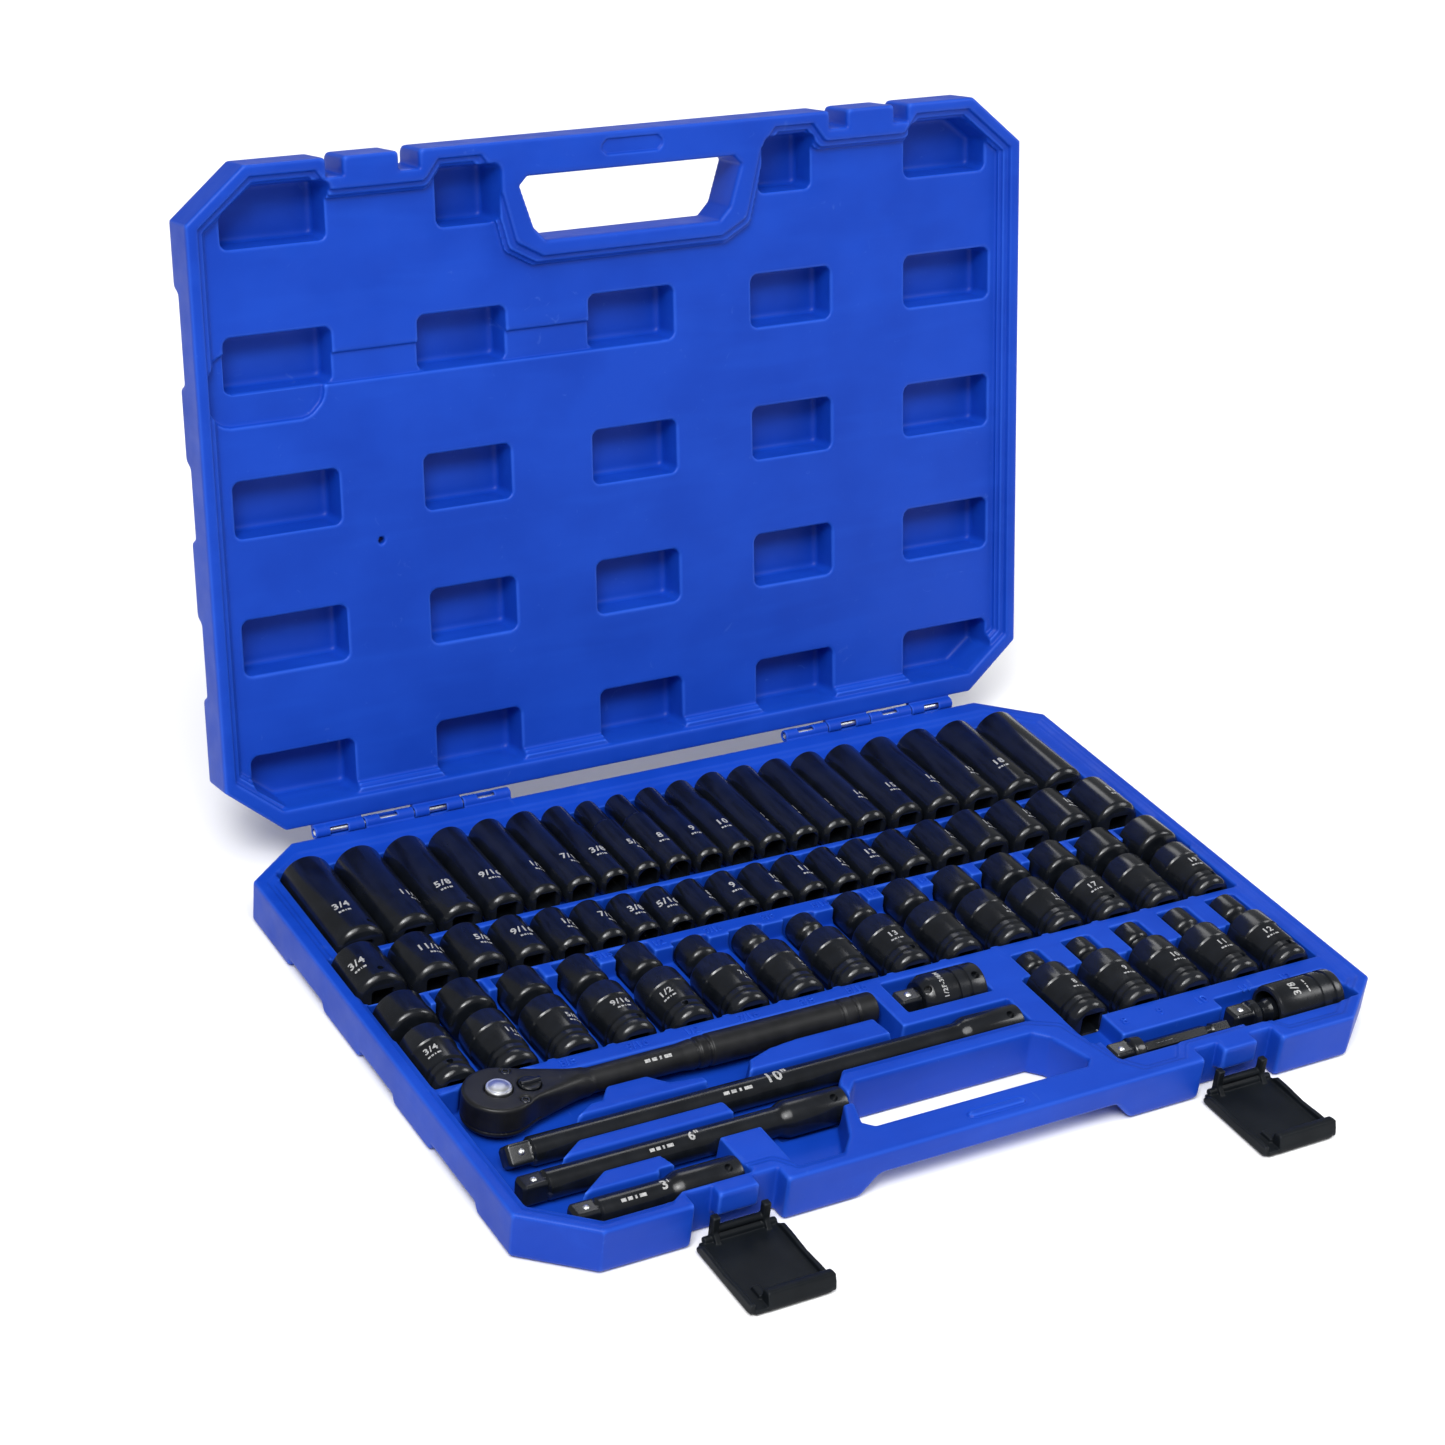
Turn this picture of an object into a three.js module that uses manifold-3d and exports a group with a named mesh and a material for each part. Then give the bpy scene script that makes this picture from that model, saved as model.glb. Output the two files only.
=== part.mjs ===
// Socket wrench set in a blow-moulded case: hinged lid, two front latches, 60 sockets, ratchet and drive tools.
// Millimetres, +Z up, +Y towards the hinge, origin at the middle of the base's underside.
import * as THREE from 'three';
import { mergeVertices } from 'three/addons/utils/BufferGeometryUtils.js';
import Module from 'manifold-3d';

const wasm = await Module();
wasm.setup();

// ---- driving dimensions ----
const WIDTH = 440;
const DEPTH = 305;
const CORNER_X = 28.5;
const CORNER_Y = 23.5;
const BASE_HEIGHT = 21.8;
const LID_THICKNESS = 23;
const SEAM = 0.4;
const EDGE_INSET = 3;
const OPEN_ANGLE = 103.2;
const FRONT = -DEPTH / 2;
const REAR = DEPTH / 2;
const SIDE = WIDTH / 2;
const LID_FACE = BASE_HEIGHT + SEAM;
const LID_TOP = LID_FACE + LID_THICKNESS;
const ABOVE = BASE_HEIGHT + 1;

const HINGE = { y: REAR + 3.5, z: BASE_HEIGHT + SEAM / 2, radius: 3.2, bore: 1.9, pin: 1.4 };
const HINGE_CENTRE = 128;
const KNUCKLE = 25.4;
const KNUCKLES = 4;

const TRAY = 20;
const RIM = 6.5;
const DEEP_FLOOR = 7.2;
const TONGUE_UNDER = 11;
const FIT = 0.45;

const HANDLE = { rear: -106, front: -135.5, rearHalf: 50, frontHalf: 58.5, clear: 10, half: 66 };
const LATCH = { x: 128.5, notch: 21.5, tongue: 9.3, tongueFront: -150.2, back: -144 };
const LATCH_PLATE = { shift: -1.5, half: 19.6, pivotY: -152, pivotZ: 6.2, reach: 46.5, thickness: 2.4, lip: 6.3 };
const LID_NOTCH = { near: 108, inner: 118, outer: 145, far: 153 };

const SEGMENTS = 8;
const DRIVE = 9.53;
const RECESS = 3.9;

// outer radii, largest inch size to smallest, then smallest metric size to largest
const SIZES = [
  ['3_4in', 12.7], ['11_16in', 11.8], ['5_8in', 10.9], ['9_16in', 9.9], ['1_2in', 9.1],
  ['7_16in', 8.5], ['3_8in', 7.9], ['5_16in', 7.8], ['8mm', 7.8], ['9mm', 8.0],
  ['10mm', 8.2], ['11mm', 8.4], ['12mm', 8.5], ['13mm', 8.8], ['14mm', 9.4],
  ['15mm', 10.0], ['16mm', 10.6], ['17mm', 11.2], ['18mm', 11.9], ['19mm', 12.7],
];
const INCH_SIZES = 8;
const DEEP = { front: 67.5, rear: 131, left: -193.8, right: 189.8, top: 28, floor: 12.5 };
const SHALLOW = { front: 30.5, rear: 59, left: -201, right: 196, floor: 10 };

const SWIVEL = {
  bodyLength: 35.5, gap: 2, body: 11, collar: 11.7, headReach: 26.5, smallReach: 20.5,
};
const LONG_ROW = { pitch: 28.5, first: -199.5, ball: -7, z: 15, floor: 11 };
const SHORT_ROW = { pitch: 29, first: 81.5, ball: -70, z: 15, floor: 11 };
const LONG_ROW_SIZES = [0, 1, 2, 3, 4, 5, 6, 7, 13, 14, 15, 16, 17, 18, 19];
const SHORT_ROW_SIZES = [8, 9, 10, 11, 12];

const RATCHET = { x: -190, y: -57.2, z: 17, head: 15.6, top: 25, bottom: 10.8, end: -5.5, grip: 7.2, anvil: 8.2 };
const BAR = { radius: 6.3, female: 8.4, z: 14 };
const BARS = [
  ['extension_bar_10in', -202, -87.2, 254],
  ['extension_bar_6in', -206.4, -109, 152.4],
  ['extension_bar_3in', -195.3, -132.8, 76.2],
];
const ADAPTER = { left: 6.5, right: 49.5, y: -58.2, z: 15, radius: 11 };
const SHANK = { left: 73, right: 138.5, y: -128.4, z: 15, across: 6.35, collar: 7 };
const UNIVERSAL = { left: 141.5, centre: 165, right: 200, y: -126, z: 15.5, radius: 11.5 };

// ---- materials ----
function plain(colour, roughness, metalness) {
  return new THREE.MeshStandardMaterial({ color: colour, roughness, metalness });
}
const BLUE = plain(0x1d4fc4, 0.45, 0);
const BLACK_PLASTIC = plain(0x22262b, 0.55, 0);
const BLACK_STEEL = plain(0x14171d, 0.38, 0.85);
const GRIP_STEEL = plain(0x1c1e20, 0.5, 0.8);
const BRIGHT = plain(0xc9ccd2, 0.22, 1);

// ---- solids ----
function solid(geometry) {
  const bare = geometry.clone();
  bare.deleteAttribute('normal');
  bare.deleteAttribute('uv');
  const merged = mergeVertices(bare, 1e-4);
  const vertProperties = new Float32Array(merged.attributes.position.array);
  const triVerts = new Uint32Array(merged.index.array);
  const made = new wasm.Manifold(new wasm.Mesh({ numProp: 3, vertProperties, triVerts }));
  if (made.volume() > 0) return made;
  for (let i = 0; i < triVerts.length; i += 3) {
    [triVerts[i], triVerts[i + 1]] = [triVerts[i + 1], triVerts[i]];
  }
  return new wasm.Manifold(new wasm.Mesh({ numProp: 3, vertProperties, triVerts }));
}

function join(parts) {
  return parts.reduce((whole, part) => whole.add(part));
}

function cut(body, tools) {
  return body.subtract(join(tools));
}

function node(name, body, material) {
  const { vertProperties, triVerts } = body.getMesh();
  const geometry = new THREE.BufferGeometry();
  geometry.setAttribute('position', new THREE.BufferAttribute(new Float32Array(vertProperties), 3));
  geometry.setIndex(new THREE.BufferAttribute(new Uint32Array(triVerts), 1));
  geometry.computeVertexNormals();
  const mesh = new THREE.Mesh(geometry, material);
  mesh.name = name;
  return mesh;
}

function box(x0, x1, y0, y1, z0, z1) {
  const geometry = new THREE.BoxGeometry(x1 - x0, y1 - y0, z1 - z0);
  geometry.translate((x0 + x1) / 2, (y0 + y1) / 2, (z0 + z1) / 2);
  return solid(geometry);
}

function counterClockwise(points) {
  const flat = points.map(([x, y]) => new THREE.Vector2(x, y));
  return THREE.ShapeUtils.isClockWise(flat) ? [...points].reverse() : points;
}

// a stack of outlines with equal numbers of points, skinned between and capped
function loft(stack) {
  const sections = stack.map(({ z, points }) => ({ z, points: counterClockwise(points) }));
  const count = sections[0].points.length;
  const positions = sections.flatMap(({ z, points }) => points.flatMap(([x, y]) => [x, y, z]));
  const index = [];
  for (let s = 0; s + 1 < sections.length; s += 1) {
    for (let i = 0; i < count; i += 1) {
      const a = s * count + i;
      const b = s * count + ((i + 1) % count);
      index.push(a, b, b + count, a, b + count, a + count);
    }
  }
  const ends = [0, sections.length - 1];
  for (const s of ends) {
    const outline = sections[s].points.map(([x, y]) => new THREE.Vector2(x, y));
    for (const [a, b, c] of THREE.ShapeUtils.triangulateShape(outline, [])) {
      const [p, q] = s === 0 ? [c, b] : [b, c];
      index.push(s * count + a, s * count + p, s * count + q);
    }
  }
  const geometry = new THREE.BufferGeometry();
  geometry.setAttribute('position', new THREE.Float32BufferAttribute(positions, 3));
  geometry.setIndex(index);
  return solid(geometry);
}

function prism(points, z0, z1) {
  return loft([{ z: z0, points }, { z: z1, points }]);
}

// an outline in the YZ plane, pulled from x0 to x1
function profileAlongX(points, x0, x1) {
  const shape = new THREE.Shape(points.map(([y, z]) => new THREE.Vector2(y, z)));
  const geometry = new THREE.ExtrudeGeometry(shape, { depth: x1 - x0, bevelEnabled: false });
  geometry.applyMatrix4(new THREE.Matrix4().set(0, 0, 1, x0, 1, 0, 0, 0, 0, 1, 0, 0, 0, 0, 0, 1));
  return solid(geometry);
}

// an outline in the XZ plane, pulled from y0 to y1
function profileAlongY(points, y0, y1) {
  const shape = new THREE.Shape(points.map(([x, z]) => new THREE.Vector2(x, z)));
  const geometry = new THREE.ExtrudeGeometry(shape, { depth: y1 - y0, bevelEnabled: false });
  geometry.applyMatrix4(new THREE.Matrix4().set(1, 0, 0, 0, 0, 0, 1, y0, 0, 1, 0, 0, 0, 0, 0, 1));
  return solid(geometry);
}

// a profile of [radius, distance] pairs turned about an axis along +X, +Y or +Z through a point
function turned(profile, axis, x, y, z, segments = SEGMENTS) {
  const points = profile.map(([r, t]) => new THREE.Vector2(r, t));
  const geometry = new THREE.LatheGeometry(points, segments);
  geometry.rotateY(Math.PI / segments);
  if (axis === 'x') geometry.rotateZ(-Math.PI / 2);
  if (axis === 'z') geometry.rotateX(Math.PI / 2);
  geometry.translate(x, y, z);
  return solid(geometry);
}

function rod(axis, x, y, z, radius, length, segments = SEGMENTS) {
  return turned([[0, 0], [radius, 0], [radius, length], [0, length]], axis, x, y, z, segments);
}

// ---- outlines ----
// a rectangle with its corners cut off, counter-clockwise from the front left
function cornered(x0, x1, y0, y1, cx, cy) {
  return [
    [x0 + cx, y0], [x1 - cx, y0], [x1, y0 + cy], [x1, y1 - cy],
    [x1 - cx, y1], [x0 + cx, y1], [x0, y1 - cy], [x0, y0 + cy],
  ];
}

function caseOutline(inset) {
  const lost = inset * 0.42;
  return cornered(
    -SIDE + inset, SIDE - inset, FRONT + inset, REAR - inset, CORNER_X - lost, CORNER_Y - lost,
  );
}

// the mouth of the hollow in either half: inset from the rim, bowed in round the latches and the handle
function mouthOutline(inset) {
  const side = SIDE - inset;
  const front = FRONT + inset - 0.5;
  const rear = REAR - inset - 4;
  const lost = inset * 0.42;
  const rearLost = lost + 3;
  const bow = LATCH.back + inset;
  const near = LATCH.x - LATCH.notch - inset * 0.7;
  const far = LATCH.x + LATCH.notch + inset * 0.7;
  const handleRear = HANDLE.rear + inset + 1.5;
  const handleSide = HANDLE.frontHalf + inset + 1.5;
  const right = [
    [handleSide - 15, handleRear], [handleSide - 4, handleRear - 6], [handleSide + 4, front + 12],
    [handleSide + 14, front], [near - 5, front], [near + 2, bow], [far - 2, bow], [far + 5, front],
    [side - CORNER_X + lost, front], [side, front + CORNER_Y - lost], [side, rear - CORNER_Y + rearLost],
    [side - CORNER_X + rearLost, rear],
  ];
  const left = right.map(([x, y]) => [-x, y]).reverse();
  return [...left, ...right];
}

function handleOutline(grow) {
  const rear = HANDLE.rear + grow;
  const front = HANDLE.front - grow;
  const half = HANDLE.rearHalf + grow;
  const frontHalf = HANDLE.frontHalf + grow;
  return [
    [-frontHalf + 4, front], [frontHalf - 4, front], [frontHalf, front + 4],
    [half + 2, rear - 6], [half - 4, rear], [-half + 4, rear], [-half - 2, rear - 6], [-frontHalf, front + 4],
  ];
}

// ---- rows of sockets ----
function rowPlaces(left, right) {
  const widths = SIZES.slice(1).map(([, r], i) => r + SIZES[i][1]);
  const gap = (right - left - widths.reduce((a, b) => a + b)) / widths.length;
  return widths.reduce((xs, w) => [...xs, xs[xs.length - 1] + w + gap], [left]);
}

function deepAxis(radius) {
  return DEEP.top - radius;
}

function shallowAxis(radius) {
  return 14.1 + 0.28 * (radius - 7.8);
}

// a cradle: half an octagon round the tool below, straight walls above
function cradle(x, z, radius, y0, y1) {
  const r = radius + FIT;
  const k = r * Math.tan(Math.PI / 8);
  const points = [[x - r, ABOVE], [x - r, z - k], [x - k, z - r], [x + k, z - r], [x + r, z - k], [x + r, ABOVE]];
  return profileAlongY(points, y0, y1);
}

function cradleAlongX(y, z, radius, x0, x1) {
  const r = radius + FIT;
  const k = r * Math.tan(Math.PI / 8);
  const points = [[y - r, ABOVE], [y - r, z - k], [y - k, z - r], [y + k, z - r], [y + r, z - k], [y + r, ABOVE]];
  return profileAlongX(points, x0, x1);
}

function headReach(radius) {
  return radius > 8.6 ? SWIVEL.headReach : SWIVEL.smallReach + 2.6 * (radius - 7.8);
}

function headRadius(radius, row) {
  return row === SHORT_ROW ? radius - 1.4 : radius;
}

// ---- the case base ----
function socketPockets() {
  const deepX = rowPlaces(DEEP.left, DEEP.right);
  const shallowX = rowPlaces(SHALLOW.left, SHALLOW.right);
  const deepMouth = box(-208.5, 204.5, 62.5, 132.5, DEEP.floor, ABOVE);
  const shallowMouth = box(-214, 211, 23, 60.5, SHALLOW.floor, ABOVE);
  const cradles = SIZES.flatMap(([, radius], i) => [
    cradle(deepX[i], deepAxis(radius), radius, DEEP.front - 1, DEEP.rear + 1),
    cradle(shallowX[i], shallowAxis(radius), radius, SHALLOW.front - 1, SHALLOW.rear + 1),
  ]);
  return [deepMouth, shallowMouth, ...cradles];
}

function swivelPockets(row, sizes) {
  return sizes.flatMap((size, i) => {
    const radius = headRadius(SIZES[size][1], row);
    const x = row.first + row.pitch * i;
    const bodyRear = row.ball + SWIVEL.gap + 1;
    const bodyFront = row.ball + SWIVEL.gap - SWIVEL.bodyLength - 1;
    const swing = Math.hypot(headReach(radius), radius) + 0.6;
    return [
      cradle(x, row.z, SWIVEL.collar, bodyFront, bodyRear),
      cradle(x, row.z, radius, bodyRear - 1, row.ball + swing),
    ];
  });
}

function rowMouths() {
  const front = LONG_ROW.ball + SWIVEL.gap - SWIVEL.bodyLength - 1;
  const nearFront = SHORT_ROW.ball + SWIVEL.gap - SWIVEL.bodyLength - 2;
  const bodyRear = SHORT_ROW.ball + SWIVEL.gap + 1;
  return [
    box(-213, 212, front, 15, LONG_ROW.floor, ABOVE),
    box(66.5, 211, nearFront, bodyRear, SHORT_ROW.floor, ABOVE),
  ];
}

// the hollow at the front left that the ratchet and the bars lie in, and the islands left standing in it
function barHollow() {
  const mouth = [
    [-212, -46], [-212, -124], [-188, -145], [-156, -145], [-149, -140.5], [-117.8, -140.5],
    [-117.8, -115.5], [-98, -115.5], [-98, -145], [-76, -145], [-68, -136], [-52, -103], [-46, -96.2],
    [53, -96.2], [53, -78], [-2.5, -78], [-2.5, -50.5], [-160, -50.5], [-170, -42],
  ];
  const hollow = prism(mouth, DEEP_FLOOR, ABOVE);
  const islands = [
    [
      [-165, -80], [-156, -74.5], [-150, -74], [-144, -66.5], [-125, -66.5], [-118, -74], [-103, -76], [-102.5, -80],
    ],
    [[-82, -80], [-78, -73], [-66, -69], [-52, -67.5], [-12, -67.5], [-10.5, -80]],
    [[-183, -102], [-172, -94.3], [-104, -94.3], [-103, -102]],
    [[-186, -125.6], [-172, -116], [-146, -116], [-143, -125.6]],
  ];
  return islands.reduce((rest, points) => rest.subtract(prism(points, 0, TRAY)), hollow);
}

function drivePockets() {
  const shankRear = SHANK.y + 7.8;
  const head = RATCHET.head + 1.2;
  const females = BARS.map(([, left, y, length]) => (
    cradleAlongX(y, BAR.z, BAR.female, left + length - 32, left + length + 0.7)
  ));
  return [
    barHollow(),
    ...females,
    cradleAlongX(RATCHET.y, RATCHET.z, RATCHET.grip, -90, RATCHET.end + 1),
    rod('z', RATCHET.x, RATCHET.y, 1.9, DRIVE * 0.5 * Math.SQRT2 + 0.8, 20, 12),
    rod('z', RATCHET.x, RATCHET.y, DEEP_FLOOR, head, 20, 16),
    cradleAlongX(ADAPTER.y, ADAPTER.z, ADAPTER.radius, ADAPTER.left - 1, ADAPTER.right + 1),
    box(SHANK.left - 1, UNIVERSAL.left + 1, SHANK.y - 7.8, shankRear, 7.4, ABOVE),
    cradleAlongX(UNIVERSAL.y, UNIVERSAL.z, UNIVERSAL.radius, UNIVERSAL.left - 0.5, UNIVERSAL.right + 6),
    box(66.5, 86, -122, SHORT_ROW.ball - 30, 11, ABOVE),
  ];
}

// the base is notched at the front where a latch lies: two slots beside a tongue, open underneath
function baseLatchCuts(side) {
  const x = side * LATCH.x;
  const ahead = FRONT - 5;
  return [
    box(x - LATCH.notch, x - LATCH.tongue, ahead, LATCH.back, -1, ABOVE),
    box(x + LATCH.tongue, x + LATCH.notch, ahead, LATCH.back, -1, ABOVE),
    box(x - LATCH.notch, x + LATCH.notch, ahead, LATCH.tongueFront, -1, ABOVE),
    box(x - LATCH.notch, x + LATCH.notch, ahead, LATCH.back, -1, TONGUE_UNDER),
  ];
}

// the lid has two slots beside a broader tongue that the latch's lip closes over
function lidLatchCuts(side) {
  const { near, inner, outer, far } = LID_NOTCH;
  const slots = [[near, inner], [outer, far]];
  return slots.map(([from, to]) => {
    const ends = [side * from, side * to].sort((a, b) => a - b);
    return box(ends[0], ends[1], FRONT - 5, LATCH.back, LID_FACE - 1, LID_TOP + 1);
  });
}

function knuckle(x0, x1, below) {
  const sign = below ? -1 : 1;
  const web = [
    [REAR - 1, HINGE.z + sign * 0.6], [HINGE.y, HINGE.z + sign * 0.6],
    [HINGE.y, HINGE.z + sign * 2.9], [REAR - 1, HINGE.z + sign * 4.2],
  ];
  const barrel = rod('x', x0, HINGE.y, HINGE.z, HINGE.radius, x1 - x0, 12);
  const bore = rod('x', x0 - 1, HINGE.y, HINGE.z, HINGE.bore, x1 - x0 + 2, 8);
  const middle = (x0 + x1) / 2;
  const slot = box(middle - 5, middle + 4, HINGE.y - 1.9, HINGE.y + 1.9, HINGE.z, HINGE.z + 4);
  const under = box(middle - 5, middle + 4, HINGE.y - 1.9, HINGE.y + 1.9, HINGE.z - 4, HINGE.z);
  const solidKnuckle = barrel.add(profileAlongX(web, x0, x1)).subtract(bore);
  return below ? solidKnuckle.subtract(slot) : solidKnuckle.subtract(under);
}

// knuckles alternate along a hinge; the left hinge starts with the lid, the right one with the base
function knuckles(side, ofBase) {
  const start = side * HINGE_CENTRE - (KNUCKLE * KNUCKLES) / 2;
  const baseParity = side < 0 ? 1 : 0;
  const made = [];
  for (let i = 0; i < KNUCKLES; i += 1) {
    const isBase = i % 2 === baseParity;
    if (isBase === ofBase) {
      made.push(knuckle(start + KNUCKLE * i + 0.25, start + KNUCKLE * (i + 1) - 0.25, ofBase));
    }
  }
  return made;
}

// shallow steps along the outer edges of both halves, between the raised pads
function sideSteps(z0, z1) {
  const bands = [[-97, -57], [-19, 13], [53, 87]];
  return bands.flatMap(([y0, y1]) => [
    box(-SIDE - 1, -SIDE + 9, y0, y1, z0, z1),
    box(SIDE - 9, SIDE + 1, y0, y1, z0, z1),
  ]);
}

function caseBase() {
  const shell = loft([
    { z: 0, points: caseOutline(EDGE_INSET) },
    { z: EDGE_INSET, points: caseOutline(0.4) },
    { z: BASE_HEIGHT, points: caseOutline(0) },
  ]);
  const ledge = prism(mouthOutline(RIM), BASE_HEIGHT - 0.9, ABOVE);
  const mouth = prism(mouthOutline(RIM + 2.6), TRAY, ABOVE);
  const under = HANDLE.half;
  const cuts = [
    ledge, mouth,
    ...socketPockets(), ...rowMouths(),
    ...swivelPockets(LONG_ROW, LONG_ROW_SIZES), ...swivelPockets(SHORT_ROW, SHORT_ROW_SIZES),
    ...drivePockets(),
    prism(handleOutline(0), -1, ABOVE),
    profileAlongY([[-under - 5, -1], [under + 5, -1], [under - 4, HANDLE.clear], [-under + 4, HANDLE.clear]],
      FRONT - 2, HANDLE.front + 1),
    ...baseLatchCuts(-1), ...baseLatchCuts(1),
    ...sideSteps(-1, 4.5),
  ];
  const pill = prism(cornered(-15, 15, -148, -143, 2, 2), BASE_HEIGHT - 1, BASE_HEIGHT + 0.9);
  const hinge = [...knuckles(-1, true), ...knuckles(1, true)];
  return node('case_base', join([cut(shell, cuts), pill, ...hinge]), BLUE);
}

// ---- the lid, made closed on the base ----
function lidWindow([x0, x1], [y0, y1], cornerSide, cornerEnd, bottom) {
  const draft = 2.2;
  const round = 4;
  const outline = (inset) => {
    const plan = cornered(x0 + inset, x1 - inset, y0 + inset, y1 - inset, round, round);
    const reach = 15;
    const lift = 12;
    if (cornerSide === 0) return plan;
    const left = cornerSide < 0;
    const rear = cornerEnd > 0;
    const big = { 'true,false': [0, 7], 'false,false': [1, 2], 'false,true': [4, 3], 'true,true': [5, 6] };
    const [alongX, alongY] = big[`${left},${rear}`];
    plan[alongX] = [left ? x0 + inset + reach : x1 - inset - reach, plan[alongX][1]];
    plan[alongY] = [plan[alongY][0], rear ? y1 - inset - lift : y0 + inset + lift];
    return plan;
  };
  return loft([
    { z: LID_FACE - 1, points: outline(0) },
    { z: LID_FACE + 7, points: outline(0) },
    { z: bottom, points: outline(draft) },
  ]);
}

function lidWindows() {
  const rows = [[270.4, 297.4], [206.2, 232.1], [140.9, 167.4], [76.8, 103.3], [13, 38.6]];
  const columns = [[-204, -152], [-110, -65], [-22, 24], [66.5, 112], [155, 206]];
  const topColumns = [[-202, -152], [-98, -68], null, [71.5, 101], [155, 203]];
  const hingeLine = 155;
  const bottom = LID_TOP - 1.6;
  return rows.flatMap(([near, far], row) => {
    const span = [hingeLine - far, hingeLine - near];
    const plan = row === 0 ? topColumns : columns;
    return plan.flatMap((column, i) => {
      if (!column) return [];
      const outer = i === 0 || i === columns.length - 1;
      const cornerSide = outer && (row === 0 || row === rows.length - 1) ? (i === 0 ? -1 : 1) : 0;
      return [lidWindow(column, span, cornerSide, row === 0 ? -1 : 1, bottom)];
    });
  });
}

// a shallow bed in the lid's panel over the ratchet
function ratchetBed() {
  const floor = LID_FACE + 8.4;
  const head = cornered(-214, -157, -68, -37, 9, 9);
  return [
    prism(head, LID_FACE, floor),
    prism([[-157, -65], [17, -65], [17, -51], [-157, -51]], LID_FACE, LID_FACE + 8),
  ];
}

function caseLid() {
  const shell = loft([
    { z: LID_FACE, points: caseOutline(0) },
    { z: LID_TOP - EDGE_INSET, points: caseOutline(0.4) },
    { z: LID_TOP, points: caseOutline(EDGE_INSET) },
  ]);
  const cuts = [
    prism(mouthOutline(RIM - 0.5), LID_FACE - 1, LID_FACE + 2.6),
    prism(mouthOutline(RIM + 2.2), LID_FACE - 1, LID_FACE + 4.8),
    prism(mouthOutline(RIM + 3.6), LID_FACE - 1, LID_FACE + 7),
    ...lidWindows(), ...ratchetBed(),
    prism(handleOutline(0), LID_FACE - 1, LID_TOP + 1),
    ...lidLatchCuts(-1), ...lidLatchCuts(1),
    prism(cornered(-16, 16, -149, -142, 2.4, 2.4), LID_FACE - 1, LID_FACE + 1.4),
    rod('z', -133, 24.5, LID_FACE, 1.5, LID_THICKNESS + 1, 8),
    ...sideSteps(LID_TOP - 6, LID_TOP + 1),
  ];
  const hinge = [...knuckles(-1, false), ...knuckles(1, false)];
  const mesh = node('case_lid', join([cut(shell, cuts), ...hinge]), BLUE);
  mesh.position.set(0, -HINGE.y, -HINGE.z);
  const swung = new THREE.Group();
  swung.add(mesh);
  swung.position.set(0, HINGE.y, HINGE.z);
  swung.rotation.x = -THREE.MathUtils.degToRad(OPEN_ANGLE);
  return swung;
}

function hingePin(side) {
  const length = KNUCKLE * KNUCKLES - 1;
  const name = side < 0 ? 'hinge_pin_left' : 'hinge_pin_right';
  const x = side * HINGE_CENTRE - length / 2;
  return node(name, rod('x', x, HINGE.y, HINGE.z, HINGE.pin, length, 8), BRIGHT);
}

// ---- latches, lying open on the ground ahead of the case ----
function latch(side) {
  const { shift, half, pivotY, pivotZ, reach, thickness, lip } = LATCH_PLATE;
  const notchX = side * LATCH.x;
  const x = notchX + shift;
  const under = 0.5;
  const top = under + thickness;
  const tip = pivotY - reach;
  const armAt = LATCH.tongue + 2.6;
  const arm = (at) => box(at - 1.7, at + 1.7, pivotY - 2.2, pivotY + 1.4, top - 1, pivotZ + 7.2);
  const flange = (at) => profileAlongX(
    [[pivotY - 1, top - 1], [pivotY - 4, pivotZ - 0.6], [pivotY - 9, pivotZ - 0.9], [tip + 1, pivotZ - 0.9],
      [tip + 1, top - 1]],
    at - 1.1, at + 1.1,
  );
  const lipTop = pivotZ + 2.4;
  const lipProfile = [[tip + lip, top - 1], [tip + lip, lipTop], [tip + 1.6, lipTop], [tip, top - 1]];
  const plate = [
    [pivotY - 1, top], [pivotY - 1, under + 0.6], [pivotY - 3, under], [tip + 0.8, under], [tip, under + 1], [tip, top],
  ];
  const parts = [
    profileAlongX(plate, x - half, x + half),
    flange(x - half + 1.1), flange(x + half - 1.1),
    arm(notchX - armAt), arm(notchX + armAt),
    rod('x', notchX - armAt, pivotY, pivotZ, 1.8, 2 * armAt, 8),
    profileAlongX(lipProfile, x - half + 8, x + half),
  ];
  return node(side < 0 ? 'latch_left' : 'latch_right', join(parts), BLACK_PLASTIC);
}

// ---- sockets ----
function driveRecess(x, y, z) {
  const half = DRIVE / 2;
  return box(x - half, x + half, y - 1, y + RECESS, z - half, z + half);
}

function plainSocket(x, z, radius, row) {
  const length = row.rear - row.front;
  const profile = [[0, 0], [radius - 1.1, 0], [radius, 1], [radius, length], [0, length]];
  return turned(profile, 'y', x, row.front, z).subtract(driveRecess(x, row.front, z));
}

// neighbouring sockets of a joined row meet in a thin hidden web under their axes
function joinedRow(name, row, first, last, axisOf, material) {
  const xs = rowPlaces(row.left, row.right);
  const parts = [];
  for (let i = first; i < last; i += 1) {
    const z = axisOf(SIZES[i][1]);
    parts.push(plainSocket(xs[i], z, SIZES[i][1], row));
    if (i > first) {
      const level = Math.min(z, axisOf(SIZES[i - 1][1]));
      const middle = (row.front + row.rear) / 2;
      parts.push(box(xs[i - 1], xs[i], middle - 4, middle + 4, level - 1.4, level - 0.2));
    }
  }
  return node(name, join(parts), material);
}

function swivelBody(name, x, row) {
  const length = SWIVEL.bodyLength;
  const front = row.ball + SWIVEL.gap - length;
  const profile = [
    [0, 0], [10.2, 0], [SWIVEL.body, 1.2], [SWIVEL.body, 23.5], [SWIVEL.collar, 24.2], [SWIVEL.collar, length],
    [8.8, length], [7.4, length - 10.5], [0, length - 10.5],
  ];
  const made = turned(profile, 'y', x, front, row.z).subtract(driveRecess(x, front, row.z));
  return node(name, made, BLACK_STEEL);
}

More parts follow.
